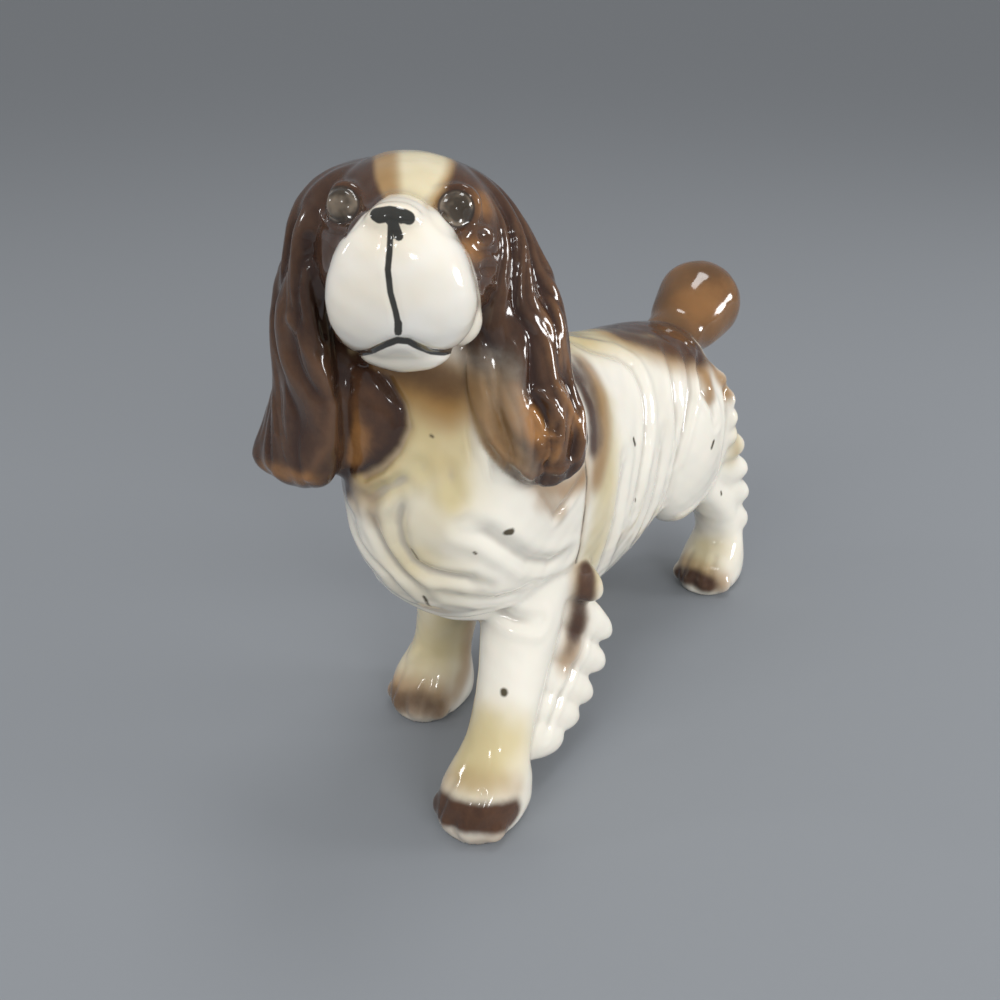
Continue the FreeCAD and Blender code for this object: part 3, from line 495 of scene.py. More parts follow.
def polygon_depth(places: np.ndarray, corners: Points) -> np.ndarray:
    """How far each flat place lies inside a polygon; outside it is negative.

    Args:
        places: Two columns, one row a place.
        corners: The polygon's corners in order.

    Returns:
        The signed distance to the edge.
    """
    ring = np.asarray(tuple(corners) + (corners[0],), float)
    inside = np.zeros(len(places), bool)
    for (x0, y0), (x1, y1) in zip(ring, ring[1:]):
        crosses = (y0 > places[:, 1]) != (y1 > places[:, 1])
        reach = x0 + (places[:, 1] - y0) * (x1 - x0) / (y1 - y0 if y1 != y0 else 1e-9)
        inside ^= crosses & (places[:, 0] < reach)
    gap = polyline_distance(places, ring)
    return np.where(inside, gap, -gap)


def bell(gap: np.ndarray, radius: float) -> np.ndarray:
    """A bell curve of the distance.

    Args:
        gap: Distances.
        radius: Distance at which the curve has dropped to about a third.

    Returns:
        One at the line, falling to zero.
    """
    return np.exp(-((gap / radius) ** 2))


def step(value: np.ndarray, low: float, high: float) -> np.ndarray:
    """A smooth step from 0 at low to 1 at high.

    Args:
        value: Values to map.
        low: Where the step begins.
        high: Where it ends.

    Returns:
        Values from 0 to 1.
    """
    share = np.clip((value - low) / (high - low), 0.0, 1.0)
    return share * share * (3.0 - 2.0 * share)


def to_frame(place: Sequence[float]) -> Vector:
    """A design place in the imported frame.

    Args:
        place: Millimetres in the design frame.

    Returns:
        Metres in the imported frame.
    """
    return Vector(tuple((np.asarray(place, float) + SHIFT) * MM))


def face_place(across: float, up: float, out: float) -> np.ndarray:
    """A design place given in the face plane.

    Args:
        across: Millimetres across the face.
        up: Millimetres up the face.
        out: Millimetres out of the face plane.

    Returns:
        The place in the design frame.
    """
    return SKULL + FACE_ACROSS * across + FACE_UP * up + FACE_OUT * out


def face_turn() -> Matrix:
    """The rotation that takes X across the face, Y up it and Z out of it."""
    return Matrix(np.column_stack((FACE_ACROSS, FACE_UP, FACE_OUT)).tolist()).to_4x4()


def deselect() -> None:
    """Clears the selection, so that an operator only takes what it is given."""
    bpy.ops.object.select_all(action="DESELECT")


def active(obj: bpy.types.Object) -> bpy.types.Object:
    """Makes one object the only selected and the active one.

    Args:
        obj: The object.

    Returns:
        The same object.
    """
    deselect()
    obj.select_set(True)
    bpy.context.view_layer.objects.active = obj
    return obj


def linear(code: str) -> Tuple[float, float, float, float]:
    """Turns an sRGB hex colour to linear values.

    Args:
        code: Six hex digits.

    Returns:
        Red, green, blue and a full alpha.
    """
    parts = [int(code[k:k + 2], 16) / 255.0 for k in (0, 2, 4)]
    values = [c / 12.92 if c <= 0.04045 else ((c + 0.055) / 1.055) ** 2.4 for c in parts]
    return (values[0], values[1], values[2], 1.0)


@dataclass
class Clay:
    """The figure as one piece of modelled clay, before it is parted into its castings."""

    parts: List[bpy.types.Object] = field(default_factory=list)
    body: Optional[bpy.types.Object] = None

    def take_nodes(self) -> None:
        """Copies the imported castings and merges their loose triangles."""
        for name in NODES:
            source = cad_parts[name]
            copy = source.copy()
            copy.data = source.data.copy()
            copy.parent = None
            bpy.context.scene.collection.objects.link(copy)
            active(copy)
            bpy.ops.object.mode_set(mode="EDIT")
            bpy.ops.mesh.select_all(action="SELECT")
            bpy.ops.mesh.remove_doubles(threshold=0.00001)
            bpy.ops.object.mode_set(mode="OBJECT")
            self.parts.append(copy)
        log.info("clay: %d castings", len(self.parts))

    def ball(self, middle: Sequence[float], radii: Sequence[float], turn: Optional[Matrix] = None) -> None:
        """Adds an ellipsoid of clay.

        Args:
            middle: Its middle in the design frame.
            radii: Its three half widths.
            turn: How its axes are turned.
        """
        deselect()
        bpy.ops.mesh.primitive_uv_sphere_add(segments=48, ring_count=28, radius=MM)
        ball = bpy.context.object
        size = Matrix.Diagonal((*radii, 1.0))
        ball.matrix_world = Matrix.Translation(to_frame(middle)) @ (turn or Matrix()) @ size
        self.parts.append(ball)

    def add_face(self) -> None:
        """Eyeballs, jowls and chin."""
        turn = face_turn()
        for place in EYES:
            self.ball(face_place(*place), EYEBALL, turn)
        for place, radii in (*JOWLS, CHIN):
            self.ball(face_place(*place), radii, turn)

    def add_trim(self) -> None:
        """A plug in the air hole, the right ear's fold, a knob of hair and the haunches' scallops."""
        deselect()
        bpy.ops.mesh.primitive_cylinder_add(radius=PLUG_RADIUS * MM, depth=PLUG_DEPTH * MM, vertices=32)
        plug = bpy.context.object
        plug.matrix_world = Matrix.Translation(to_frame(PLUG_MIDDLE))
        self.parts.append(plug)
        for middle, radii in (*INNER_FOLD_CLAY, HAIR_KNOB):
            self.ball(middle, radii)
        for side in (1.0, -1.0):
            for across, behind, up in HAUNCH_SCALLOPS:
                self.ball((side * across, behind, up), SCALLOP)

    def fuse(self) -> None:
        """Joins all the clay and gives it one closed skin."""
        active(self.parts[0])
        for part in self.parts:
            part.select_set(True)
        bpy.ops.object.join()
        body = bpy.context.object
        bpy.ops.object.transform_apply(location=True, rotation=True, scale=True)
        body.data.materials.clear()
        remesh = body.modifiers.new("skin", "REMESH")
        remesh.mode = "VOXEL"
        remesh.voxel_size = VOXEL * MM
        remesh.adaptivity = 0.0
        bpy.ops.object.modifier_apply(modifier=remesh.name)
        self.keep_outer(body)
        bpy.ops.object.shade_smooth()
        log.info("clay: %d faces", len(self.body.data.polygons))

    def keep_outer(self, body: bpy.types.Object) -> None:
        """Keeps the outer skin and drops any that lies inside the figure.

        Args:
            body: All the skins as one object.
        """
        active(body)
        bpy.ops.object.mode_set(mode="EDIT")
        bpy.ops.mesh.select_all(action="SELECT")
        bpy.ops.mesh.separate(type="LOOSE")
        bpy.ops.object.mode_set(mode="OBJECT")
        shells = sorted(bpy.context.selected_objects, key=lambda item: len(item.data.vertices))
        for inner in shells[:-1]:
            bpy.data.objects.remove(inner)
        self.body = active(shells[-1])


@dataclass
class Surface:
    """The skin's points with what is worked out on them."""

    body: bpy.types.Object
    places: np.ndarray = field(init=False)
    edges: np.ndarray = field(init=False)
    owner: np.ndarray = field(init=False)
    lock: np.ndarray = field(init=False)

    def __post_init__(self) -> None:
        """Reads the skin's points and edges, and finds the casting of each point."""
        mesh = self.body.data
        self.places = np.empty(len(mesh.vertices) * 3)
        mesh.vertices.foreach_get("co", self.places)
        self.places = self.places.reshape(-1, 3) / MM - SHIFT
        self.edges = np.empty(len(mesh.edges) * 2, np.int32)
        mesh.edges.foreach_get("vertices", self.edges)
        self.edges = self.edges.reshape(-1, 2)
        self.owner = self.find_owner()
        self.lock = np.zeros(len(self.places))

    def find_owner(self) -> np.ndarray:
        """The casting that each point belongs to, by the nearest packed surface.

        Returns:
            An index into NODES for every point.
        """
        count = len(self.places)
        best = np.full(count, 1e9)
        owner = np.zeros(count, int)
        world = (self.places + SHIFT) * MM
        margin = OWNER_MARGIN * MM
        for index, name in enumerate(NODES):
            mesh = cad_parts[name].data
            corners = [v.co[:] for v in mesh.vertices]
            tree = BVHTree.FromPolygons(corners, [p.vertices[:] for p in mesh.polygons])
            low, high = (np.array(corner[:]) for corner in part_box(name))
            near = np.where(((world > low - margin) & (world < high + margin)).all(1))[0]
            gaps = np.array([tree.find_nearest(world[k])[3] for k in near]) if len(near) else np.empty(0)
            closer = gaps < best[near]
            best[near[closer]] = gaps[closer]
            owner[near[closer]] = index
        return self.settle_owner(owner)

    def settle_owner(self, owner: np.ndarray) -> np.ndarray:
        """Removes stray islands by letting each point follow most of its neighbours.

        Args:
            owner: The first guess.

        Returns:
            The settled owners.
        """
        rows = np.arange(len(owner))
        for _ in range(SETTLING):
            votes = np.zeros((len(owner), len(NODES)))
            votes[rows, owner] += 0.5
            for index in range(len(NODES)):
                mine = (owner == index).astype(float)
                votes[:, index] += np.bincount(self.edges[:, 0], mine[self.edges[:, 1]], len(owner))
                votes[:, index] += np.bincount(self.edges[:, 1], mine[self.edges[:, 0]], len(owner))
            owner = votes.argmax(1)
        return owner

    def of(self, names: Sequence[str]) -> np.ndarray:
        """Which points belong to the named castings.

        Args:
            names: Names of castings; none means all.

        Returns:
            A truth value for every point.
        """
        if not names:
            return np.ones(len(self.owner), bool)
        return np.isin(self.owner, [NODES.index(name) for name in names])

    def snap(self, points: Points) -> np.ndarray:
        """Moves places onto the nearest points of the skin.

        Args:
            points: Places near the skin.

        Returns:
            The moved places.
        """
        moved = []
        for point in points:
            gap = self.places - np.asarray(point, float)
            moved.append(self.places[(gap * gap).sum(1).argmin()])
        return np.array(moved)

    def close_to(self, points: Points, margin: float) -> np.ndarray:
        """Points of the skin in a box round a line.

        Args:
            points: The line.
            margin: How far the box reaches past it.

        Returns:
            Indices of the points.
        """
        line = np.asarray(points, float)
        low = line.min(0) - margin
        high = line.max(0) + margin
        return np.where(((self.places > low) & (self.places < high)).all(1))[0]

    def mean(self, values: np.ndarray) -> np.ndarray:
        """The mean of each point's neighbours.

        Args:
            values: One row a point.

        Returns:
            The neighbours' mean, one row a point.
        """
        first, second = self.edges.T
        count = np.bincount(first, minlength=len(values)) + np.bincount(second, minlength=len(values))
        out = np.empty_like(values)
        for column in range(values.shape[1]):
            flat = values[:, column]
            total = np.bincount(first, flat[second], len(values))
            total += np.bincount(second, flat[first], len(values))
            out[:, column] = total / np.maximum(count, 1)
        return out

    def smooth(self, rounds: int, amount: np.ndarray) -> None:
        """Softens the skin.

        Args:
            rounds: How many times.
            amount: How far each point moves to its neighbours' mean, from 0 to 1.
        """
        for _ in range(rounds):
            self.places += (self.mean(self.places) - self.places) * amount[:, None]

    def normals(self) -> np.ndarray:
        """Outward directions of the skin as it stands.

        Returns:
            One unit vector a point.
        """
        self.write()
        mesh = self.body.data
        out = np.empty(len(mesh.vertices) * 3)
        mesh.vertex_normals.foreach_get("vector", out)
        return out.reshape(-1, 3)

    def write(self) -> None:
        """Puts the points back into the mesh."""
        mesh = self.body.data
        mesh.vertices.foreach_set("co", ((self.places + SHIFT) * MM).ravel())
        mesh.update()

    def push(self, height: np.ndarray) -> None:
        """Moves the skin out by a height at every point.

        Args:
            height: Millimetres along the normal.
        """
        self.places += self.normals() * height[:, None]

    def keep(self, name: str, values: np.ndarray) -> None:
        """Stores one number a point on the mesh.

        Args:
            name: Name of the attribute.
            values: The numbers.
        """
        mesh = self.body.data
        attribute = mesh.attributes.new(name, "FLOAT", "POINT")
        attribute.data.foreach_set("value", values.astype(np.float32))


@dataclass
class Ears:
    """Both ears: where a point lies on its flap, the hair and folds worked into it, and its browns."""

    skin: Surface
    length: float = 62.0
    half_width: float = 12.0
    hollow_depth: float = 1.2
    pale_share: float = 0.55

    def flap(self, name: str) -> Tuple[np.ndarray, np.ndarray, np.ndarray, np.ndarray]:
        """Where each point of an ear lies on its flap.

        Args:
            name: The ear.

        Returns:
            Which points are the ear's, then for those: place across from -1 to 1, drop in shares of the
            ear's length, and how far they face outwards.
        """
        side, rows = EAR_ROWS[name]
        chosen = np.where(self.skin.of((name,)))[0]
        local = self.skin.places[chosen] - SKULL
        cosine = math.cos(HEAD_TURN)
        sine = math.sin(HEAD_TURN)
        right = local[:, 0] * cosine + local[:, 1] * sine
        back = -local[:, 0] * sine + local[:, 1] * cosine
        drop = -local[:, 2] / self.length
        table = np.array(rows)
        out, ahead, wide, turn = (np.interp(drop, table[:, 0], table[:, k]) for k in (1, 2, 3, 4))
        angle = turn * math.pi / 2.0
        from_side = right - side * out * self.length
        from_back = back + ahead * self.length
        reach = wide * self.half_width
        across = (from_side * side * np.cos(angle) + from_back * np.sin(angle)) / reach
        facing = from_side * side * np.sin(angle) - from_back * np.cos(angle)
        return chosen, across, drop, facing

    def shape(self) -> np.ndarray:
        """Wavy locks down the ears, with finer strands where the tool was drawn through them.

        Returns:
            A height for every point.
        """
        height = np.zeros(len(self.skin.places))
        # The rates and phases of these waves are given here.
        for number, (name, locks, swell, drawn) in enumerate(EAR_HAIR):
            chosen, across, drop, facing = self.flap(name)
            x, y, z = self.skin.places[chosen].T
            patch = 0.5 + 0.5 * np.sin(0.23 * x + 0.9 * number) * np.sin(0.19 * y + 0.12 * z + 0.7)
            sway = 0.42 * np.sin(7.5 * drop + 1.1 + 2.0 * number) + 0.12 * np.sin(19.0 * drop + 2.5 * across)
            lock = np.abs(np.sin(math.pi * (across * locks + sway + 0.25))) ** 0.6
            bend = 2.8 * sway + 0.7 * np.sin(11.0 * drop + 2.0 * across)
            strand = np.abs(np.sin(math.pi * (across * 4.3 + bend))) ** 0.7
            fade = step(drop, -0.20, -0.02) * (1.0 - 0.65 * step(drop, 0.62, 0.76))
            fade = fade * (1.0 - 0.6 * step(np.abs(across), 0.80, 1.05))
            front = 0.40 + 0.60 * step(facing, -1.5, 1.0)
            combed = drawn * (0.35 + patch) * (strand - 0.62)
            height[chosen] = fade * front * (swell * (lock - 0.66) + combed)
            height[chosen] -= self.hollow_depth * bell(drop - 0.37, 0.12) * step(across, 0.3, 0.9)
            self.skin.lock[chosen] = fade * (0.75 * (lock - 0.72) + 1.5 * drawn * patch * (strand - 0.62))
        return height + self.ridges()

    def ridges(self) -> np.ndarray:
        """Single folds and curls drawn on the ears.

        Returns:
            A height for every point.
        """
        height = np.zeros(len(self.skin.places))
        for ridge in EAR_RIDGES:
            points = self.skin.snap(ridge.points)
            near = self.skin.close_to(points, ridge.radius * 3.0)
            rise = -ridge.depth * bell(polyline_distance(self.skin.places[near], points), ridge.radius)
            height[near] += rise
            self.skin.lock[near] += 0.6 * rise
        return height

    def dress(self, masks: Dict[str, np.ndarray]) -> None:
        """Browns of the ears with their paler inner folds, and of the right ear's fold on the neck.

        Args:
            masks: The colour masks.
        """
        for name in EAR_ROWS:
            chosen, across, drop, facing = self.flap(name)
            if name == "ear_left":
                inner = step(-across, -0.05, 0.55) * step(drop, 0.20, 0.40) * step(facing, -2.5, 0.0)
                inner *= 1.0 - 0.6 * step(drop, 0.62, 0.74)
            else:
                inner = 0.4 * step(drop, 0.72, 0.80) * step(across, -0.4, 0.4)
            masks["liver"][chosen] = 1.0 - self.pale_share * inner
            masks["tan"][chosen] = 0.9 * inner
        front = self.skin.of(FORE) & (self.skin.places[:, 1] < -38.0)
        depth = polygon_depth(self.skin.places[front][:, (0, 2)], INNER_FOLD)
        masks["liver"][front] = np.maximum(masks["liver"][front], step(depth, -0.6, 0.7))
        masks["tan"][front] = np.maximum(masks["tan"][front], 0.6 * step(depth, -4.5, 0.0))
        self.skin.lock[front] -= 0.5 * bell(depth - 1.0, 1.2)


@dataclass
class Torso:
    """Chest, barrel, haunches and neck: furrows, the seam, the air hole, painted shade along the seam and in
    the air hole, the neck's brown and speckles.
    """

    skin: Surface
    vent_depth: float = 1.3
    vent_radius: float = 1.9
    vent_shadow: float = 1.7
    seam_depth: float = 0.5
    seam_radius: float = 0.55
    seam_shade: float = 0.30

    def shape(self) -> np.ndarray:
        """Tooled furrows, soft swellings, the seam and the air hole.

        Returns:
            A height for every point.
        """
        places = self.skin.places
        height = self.furrows()
        for middle, radius, rise in BOSSES:
            height += rise * bell(np.linalg.norm(places - np.array(middle), axis=1), radius)
        vent = np.linalg.norm(places - self.skin.snap((VENT,))[0], axis=1)
        height -= self.vent_depth * bell(vent, self.vent_radius)
        seam = step(places[:, 2], 44.0, 52.0) * (1.0 - step(places[:, 2], 84.0, 92.0))
        seam = seam * (np.abs(places[:, 0]) > 4.0) * self.skin.of(TORSO)
        return height - self.seam_depth * bell(np.abs(places[:, 1] + SEAM_AHEAD), self.seam_radius) * seam

    def furrows(self) -> np.ndarray:
        """Furrows with their raised shoulders. Those behind the withers stand on both sides of the body.

        Returns:
            A height for every point.
        """
        places = self.skin.places
        height = np.zeros(len(places))
        for groove in GROOVES:
            shapes = [groove.points]
            if groove.points[0][1] > 0.0:
                shapes.append(tuple((-x, y, z) for x, y, z in groove.points))
            for shape in shapes:
                points = self.skin.snap(shape)
                near = self.skin.close_to(points, groove.radius * 3.6)
                gap = polyline_distance(places[near], points)
                tips = (np.linalg.norm(places[near] - end, axis=1) for end in (points[0], points[-1]))
                line = -groove.depth * bell(gap, groove.radius)
                if groove.depth > 0.0:
                    line += 0.4 * groove.depth * bell(gap - 2.1 * groove.radius, groove.radius)
                height[near] += line * step(np.minimum(*tips), -1.5, 7.0)
        return height

    def dress(self, masks: Dict[str, np.ndarray]) -> None:
        """The brown of the head runs down the sides and the back of the neck and fades.

        Args:
            masks: The colour masks.
        """
        x, y, z = self.skin.places.T
        height = z + 3.0 * np.sin(0.24 * x) * np.sin(0.17 * y)
        behind = step(y, -44.0, -37.0) * self.skin.of(TORSO)
        masks["liver"] = np.maximum(masks["liver"], step(height, 103.0, 116.0) * behind)
        masks["tan"] = np.maximum(masks["tan"], 0.9 * step(height, 96.0, 112.0) * behind)

    def marks(self) -> Dict[str, np.ndarray]:
        """Distance to the nearest speckle, to the painted shade along the seam or to the painted shade in the
        air hole.

        Returns:
            Signed distances in millimetres by name.
        """
        skin = self.skin
        # Painted shade: dark in the air hole's dimple and in a thin line along the seam's crease, besides the
        # real speckles.
        speck_and_shade = np.linalg.norm(skin.places - skin.snap((VENT,))[0], axis=1) - self.vent_shadow
        for spot in SPECKLES:
            gap = polyline_distance(skin.places, skin.snap(spot.points)) - spot.radius
            speck_and_shade = np.minimum(speck_and_shade, gap)
        height = skin.places[:, 2]
        beyond = np.maximum(np.maximum(50.0 - height, height - 84.0), 0.0)
        width = self.seam_shade + 0.12 * np.sin(0.6 * height) - 0.12 * beyond
        seam = np.abs(skin.places[:, 1] + SEAM_AHEAD) - width
        flanks = skin.of(TORSO) & (np.abs(skin.places[:, 0]) > 8.0)
        return {"speck_and_shade_mm": np.minimum(speck_and_shade, np.where(flanks, seam, FAR))}


@dataclass
class Tail:
    """The docked tail: drawn in at its root, swelling towards its tip, in a lighter brown."""

    skin: Surface
    lean: float = math.radians(67.0)
    swell: float = 0.9
    waist: float = 1.3
    brown: float = 0.72
    under_tan: float = 1.0
    amber: float = 0.45

    def shape(self) -> np.ndarray:
        """The waist and the swelling.

        Returns:
            A height for every point.
        """
        axis = np.array([0.0, math.sin(self.lean), math.cos(self.lean)])
        along = (self.skin.places - TAIL_ROOT) @ axis
        height = self.swell * bell(along - 25.0, 8.0) - self.waist * bell(along - 9.0, 4.5)
        return height * self.skin.of(("tail",))

    def dress(self, masks: Dict[str, np.ndarray]) -> None:
        """A thin brown over tan, in uneven patches.

        Args:
            masks: The colour masks.
        """
        tail = self.skin.of(("tail",))
        masks["liver"][tail] = self.brown
        masks["tan"][tail] = self.under_tan
        masks["amber"][tail] = self.amber
        x, y, z = self.skin.places[tail].T
        self.skin.lock[tail] = 0.30 + 0.34 * np.sin(0.22 * x + 0.4) * np.sin(0.16 * y + 0.21 * z)


@dataclass
class Face:
    """The head: eyes, muzzle, nose line and mouth, and its brown with a pale blaze."""

    skin: Surface
    line_depth: float = 0.30
    mouth_depth: float = 0.55
    muzzle_rise: float = 0.35
    eye_radius: float = 3.1

    def plane(self) -> Tuple[np.ndarray, np.ndarray]:
        """Where each point lies in the face plane, and how far it stands out of it."""
        local = self.skin.places - SKULL
        return np.column_stack((local @ FACE_ACROSS, local @ FACE_UP)), local @ FACE_OUT

    def shape(self) -> np.ndarray:
        """Eye sockets, centre line, mouth, the edge of the muzzle and curls beside it.

        Returns:
            A height for every point.
        """
        flat, out = self.plane()
        height = -self.line_depth * bell(polyline_distance(flat, CENTRE_LINE), 0.55)
        height -= self.mouth_depth * bell(polyline_distance(flat, MOUTH_LINE), 0.8)
        edge = polygon_depth(flat, MUZZLE_EDGE)
        height += self.muzzle_rise * step(edge, -0.6, 1.4) * (flat[:, 1] < 9.0)
        height -= self.muzzle_rise * bell(edge + 1.1, 1.0)
        for across, up, _ in EYES:
            gap = np.hypot(flat[:, 0] - across, flat[:, 1] - up)
            height += 0.30 * bell(gap - 4.0, 0.55) - 0.50 * bell(gap - self.eye_radius, 0.4)
            height -= 0.25 * bell(gap - 5.2, 0.7)
        for (across, up), radius in CURLS:
            gap = np.hypot(flat[:, 0] - across, flat[:, 1] - up)
            height += 0.6 * bell(gap - radius, 0.55) - 0.3 * bell(gap, 0.8)
        return height * self.skin.of(("head",)) * step(out, 3.0, 9.0)

    def dress(self, masks: Dict[str, np.ndarray]) -> None:
        """A brown head with a pale blaze, and a tan throat.

        Args:
            masks: The colour masks.
        """
        head = self.skin.of(("head",))
        flat, out = self.plane()
        across, up = flat.T
        below = SKULL[2] - self.skin.places[:, 2]
        low = np.interp(up, *BLAZE_RIGHT)
        high = np.interp(up, *BLAZE_LEFT)
        side = np.maximum(step(low - across, -0.5, 0.6), step(across - high, -0.8, 1.5))
        side = np.maximum(side, step(-out, 2.0, 9.0))
        throat = step(below, 13.0, 18.0) * step(8.0 - np.abs(across + 1.0), 0.0, 4.0) * step(out, -4.0, 4.0)
        masks["liver"][head] = (side * (1.0 - 0.62 * throat))[head]
        brim = np.maximum(1.0 - step(across, -2.6, -0.4), step(across - high, -2.6, 0.2))
        masks["tan"][head] = np.maximum(0.85 * brim, 0.9 * throat)[head]
        masks["warm"][head] = 0.7
        cheek = bell(np.hypot(across - 9.2, up + 2.2), 3.0)
        temple = 0.7 * bell(np.hypot(across - 13.0, up - 6.0), 3.5)
        masks["amber"][head] = np.clip(cheek + temple, 0.0, 1.0)[head]

    def marks(self) -> Dict[str, np.ndarray]:
        """Distances to the edges of the white muzzle, the painted lines and the eyes.

        Returns:
            Signed distances in millimetres by name.
        """
        flat, out = self.plane()
        head = self.skin.of(("head",))
        far = np.full(len(flat), FAR)
        # Past the outline that the photograph shows, the white ends at a depth behind the front of the face.
        far_cheek = (flat[:, 0] < -6.0) & (flat[:, 1] < 0.0)
        muzzle = polygon_depth(flat, MUZZLE_EDGE)
        muzzle = np.where(far_cheek, np.maximum(muzzle, 0.5 * (out - 19.5)), muzzle)
        ink = far.copy()
        for line in FACE_INKS:
            ink = np.minimum(ink, polyline_distance(flat, line.points) - line.radius)
        eye = far.copy()
        for across, up, _ in EYES:
            eye = np.minimum(eye, np.hypot(flat[:, 0] - across, flat[:, 1] - up) - self.eye_radius)
        return {
            "muzzle_mm": np.where(head & (out > 6.0), muzzle, -FAR),
            "ink_mm": np.where(head & (out > 10.0), ink, far),
            "eye_mm": np.where(head & (out > 7.0), eye, far),
        }


@dataclass
class Paws:
    """The four paws with the grooves between their toes."""

    skin: Surface
    depth: float = 0.6
    radius: float = 1.1
    spacing: float = 4.6

    def shape(self) -> np.ndarray:
        """Three grooves over the front of each paw.

        Returns:
            A height for every point.
        """
        height = np.zeros(len(self.skin.places))
        for name, (x, y) in PAWS.items():
            for across in (-self.spacing, 0.0, self.spacing):
                # From the top of the paw over its front down to the floor.
                line = (
                    (x + across * 0.8, y - 6.5, 12.0),
                    (x + across, y - 11.5, 7.5),
                    (x + across * 1.1, y - 13.2, 1.0),
                )
                near = self.skin.close_to(line, 4.0)
                near = near[self.skin.of((name,))[near]]
                gap = polyline_distance(self.skin.places[near], line)
                height[near] -= self.depth * bell(gap, self.radius)
        return height


@dataclass
class Figure:
    """The whole dog: its skin with every sub-assembly worked and painted into it."""

    skin: Surface
    ears: Ears = field(init=False)
    torso: Torso = field(init=False)
    tail: Tail = field(init=False)
    face: Face = field(init=False)
    paws: Paws = field(init=False)

    def __post_init__(self) -> None:
        """Gives every sub-assembly the same skin to work on."""
        self.ears = Ears(self.skin)
        self.torso = Torso(self.skin)
        self.tail = Tail(self.skin)
        self.face = Face(self.skin)
        self.paws = Paws(self.skin)

    def unevenness(self) -> np.ndarray:
        """The slight waviness of hand-finished slip ware.

        Returns:
            A height for every point.
        """
        x, y, z = self.skin.places.T
        wave = np.sin(0.31 * x + 1.3) * np.sin(0.27 * y + 0.4) * np.sin(0.29 * z + 2.1)
        fine = np.sin(0.83 * x + 0.3 * z) * np.sin(0.71 * y - 0.2 * x + 1.1) * np.sin(0.77 * z + 0.5)
        return 0.16 * wave + 0.07 * fine

    def scallops(self) -> np.ndarray:
        """Which points belong to the feathering behind the haunches and the hind legs.

        Returns:
            A truth value for every point.
        """
        _, y, z = self.skin.places.T
        behind = (y > 72.0) | (self.skin.of(("hind_leg_right",)) & (y > 56.0))
        return (z > 22.0) & behind & ~self.skin.of(("tail",))

    def shape(self) -> None:
        """Softens the joined clay and works every sub-assembly into it."""
        skin = self.skin
        soft = np.full(len(skin.places), 0.5)
        everywhere, smooth_parts, feathering = SOFTENING
        skin.smooth(everywhere, soft)
        skin.smooth(smooth_parts, 0.5 * skin.of(LEGS + TORSO + ("tail",)))
        skin.smooth(feathering, 0.5 * self.scallops())
        skin.push(self.unevenness() + self.torso.shape() + self.tail.shape())
        skin.push(self.ears.shape())
        skin.push(self.face.shape() + self.paws.shape())
        skin.smooth(2, soft)
        sole = skin.places[:, 2] < SOLE_HEIGHT
        skin.places[sole, 2] = np.minimum(skin.places[sole, 2], 0.0)
        skin.places[:, 2] = np.maximum(skin.places[:, 2], 0.0)
        skin.write()
        log.info("figure: shaped")

    def sprayed(self, sprays: Sequence[Spray]) -> np.ndarray:
        """The strength of a set of soft strokes.

        Args:
            sprays: The strokes.

        Returns:
            Strength from 0 to 1 at every point.
        """
        out = np.zeros(len(self.skin.places))
        for spray in sprays:
            mine = self.skin.of(spray.nodes)
            gap = polyline_distance(self.skin.places[mine], spray.points)
            stroke = spray.strength * np.exp(-((gap / spray.radius) ** 2.6))
            out[mine] = np.maximum(out[mine], stroke)
        return np.clip(out, 0.0, 1.0)

    def hollows(self) -> np.ndarray:
        """How deep each point lies below the clay round it.

        Returns:
            Above zero in a furrow, below zero on a ridge.
        """
        skin = self.skin
        mean = skin.places
        for _ in range(4):
            mean = skin.mean(mean)
        hollow = ((mean - skin.places) * skin.normals()).sum(1)
        for _ in range(3):
            hollow = 0.5 * (hollow + skin.mean(hollow[:, None])[:, 0])
        # Neighbours stand further apart in a coarser skin, and this takes that out again.
        return np.clip(hollow * (4.0 * (0.5 / VOXEL) ** 2), -1.0, 1.0)

    def dress(self) -> None:
        """Stores every colour mask and crisp outline on the mesh."""
        masks = {
            "liver": self.sprayed(LIVER_SPRAYS),
            "tan": self.sprayed(TAN_SPRAYS),
            "warm": self.sprayed(WARM_SPRAYS),
            "amber": self.sprayed(AMBER_SPRAYS),
        }
        for part in (self.face, self.ears, self.torso, self.tail):
            part.dress(masks)
        for name, values in masks.items():
            for _ in range(BLENDING):
                values = 0.4 * values + 0.6 * self.skin.mean(values[:, None])[:, 0]
            masks[name] = values
        masks.update(self.face.marks())
        masks.update(self.torso.marks())
        masks["hollow"] = self.hollows()
        masks["lock"] = self.skin.lock
        for name, values in masks.items():
            self.skin.keep(name, values)
        log.info("figure: painted, brown on %.0f%% of it", 100.0 * masks["liver"].mean())


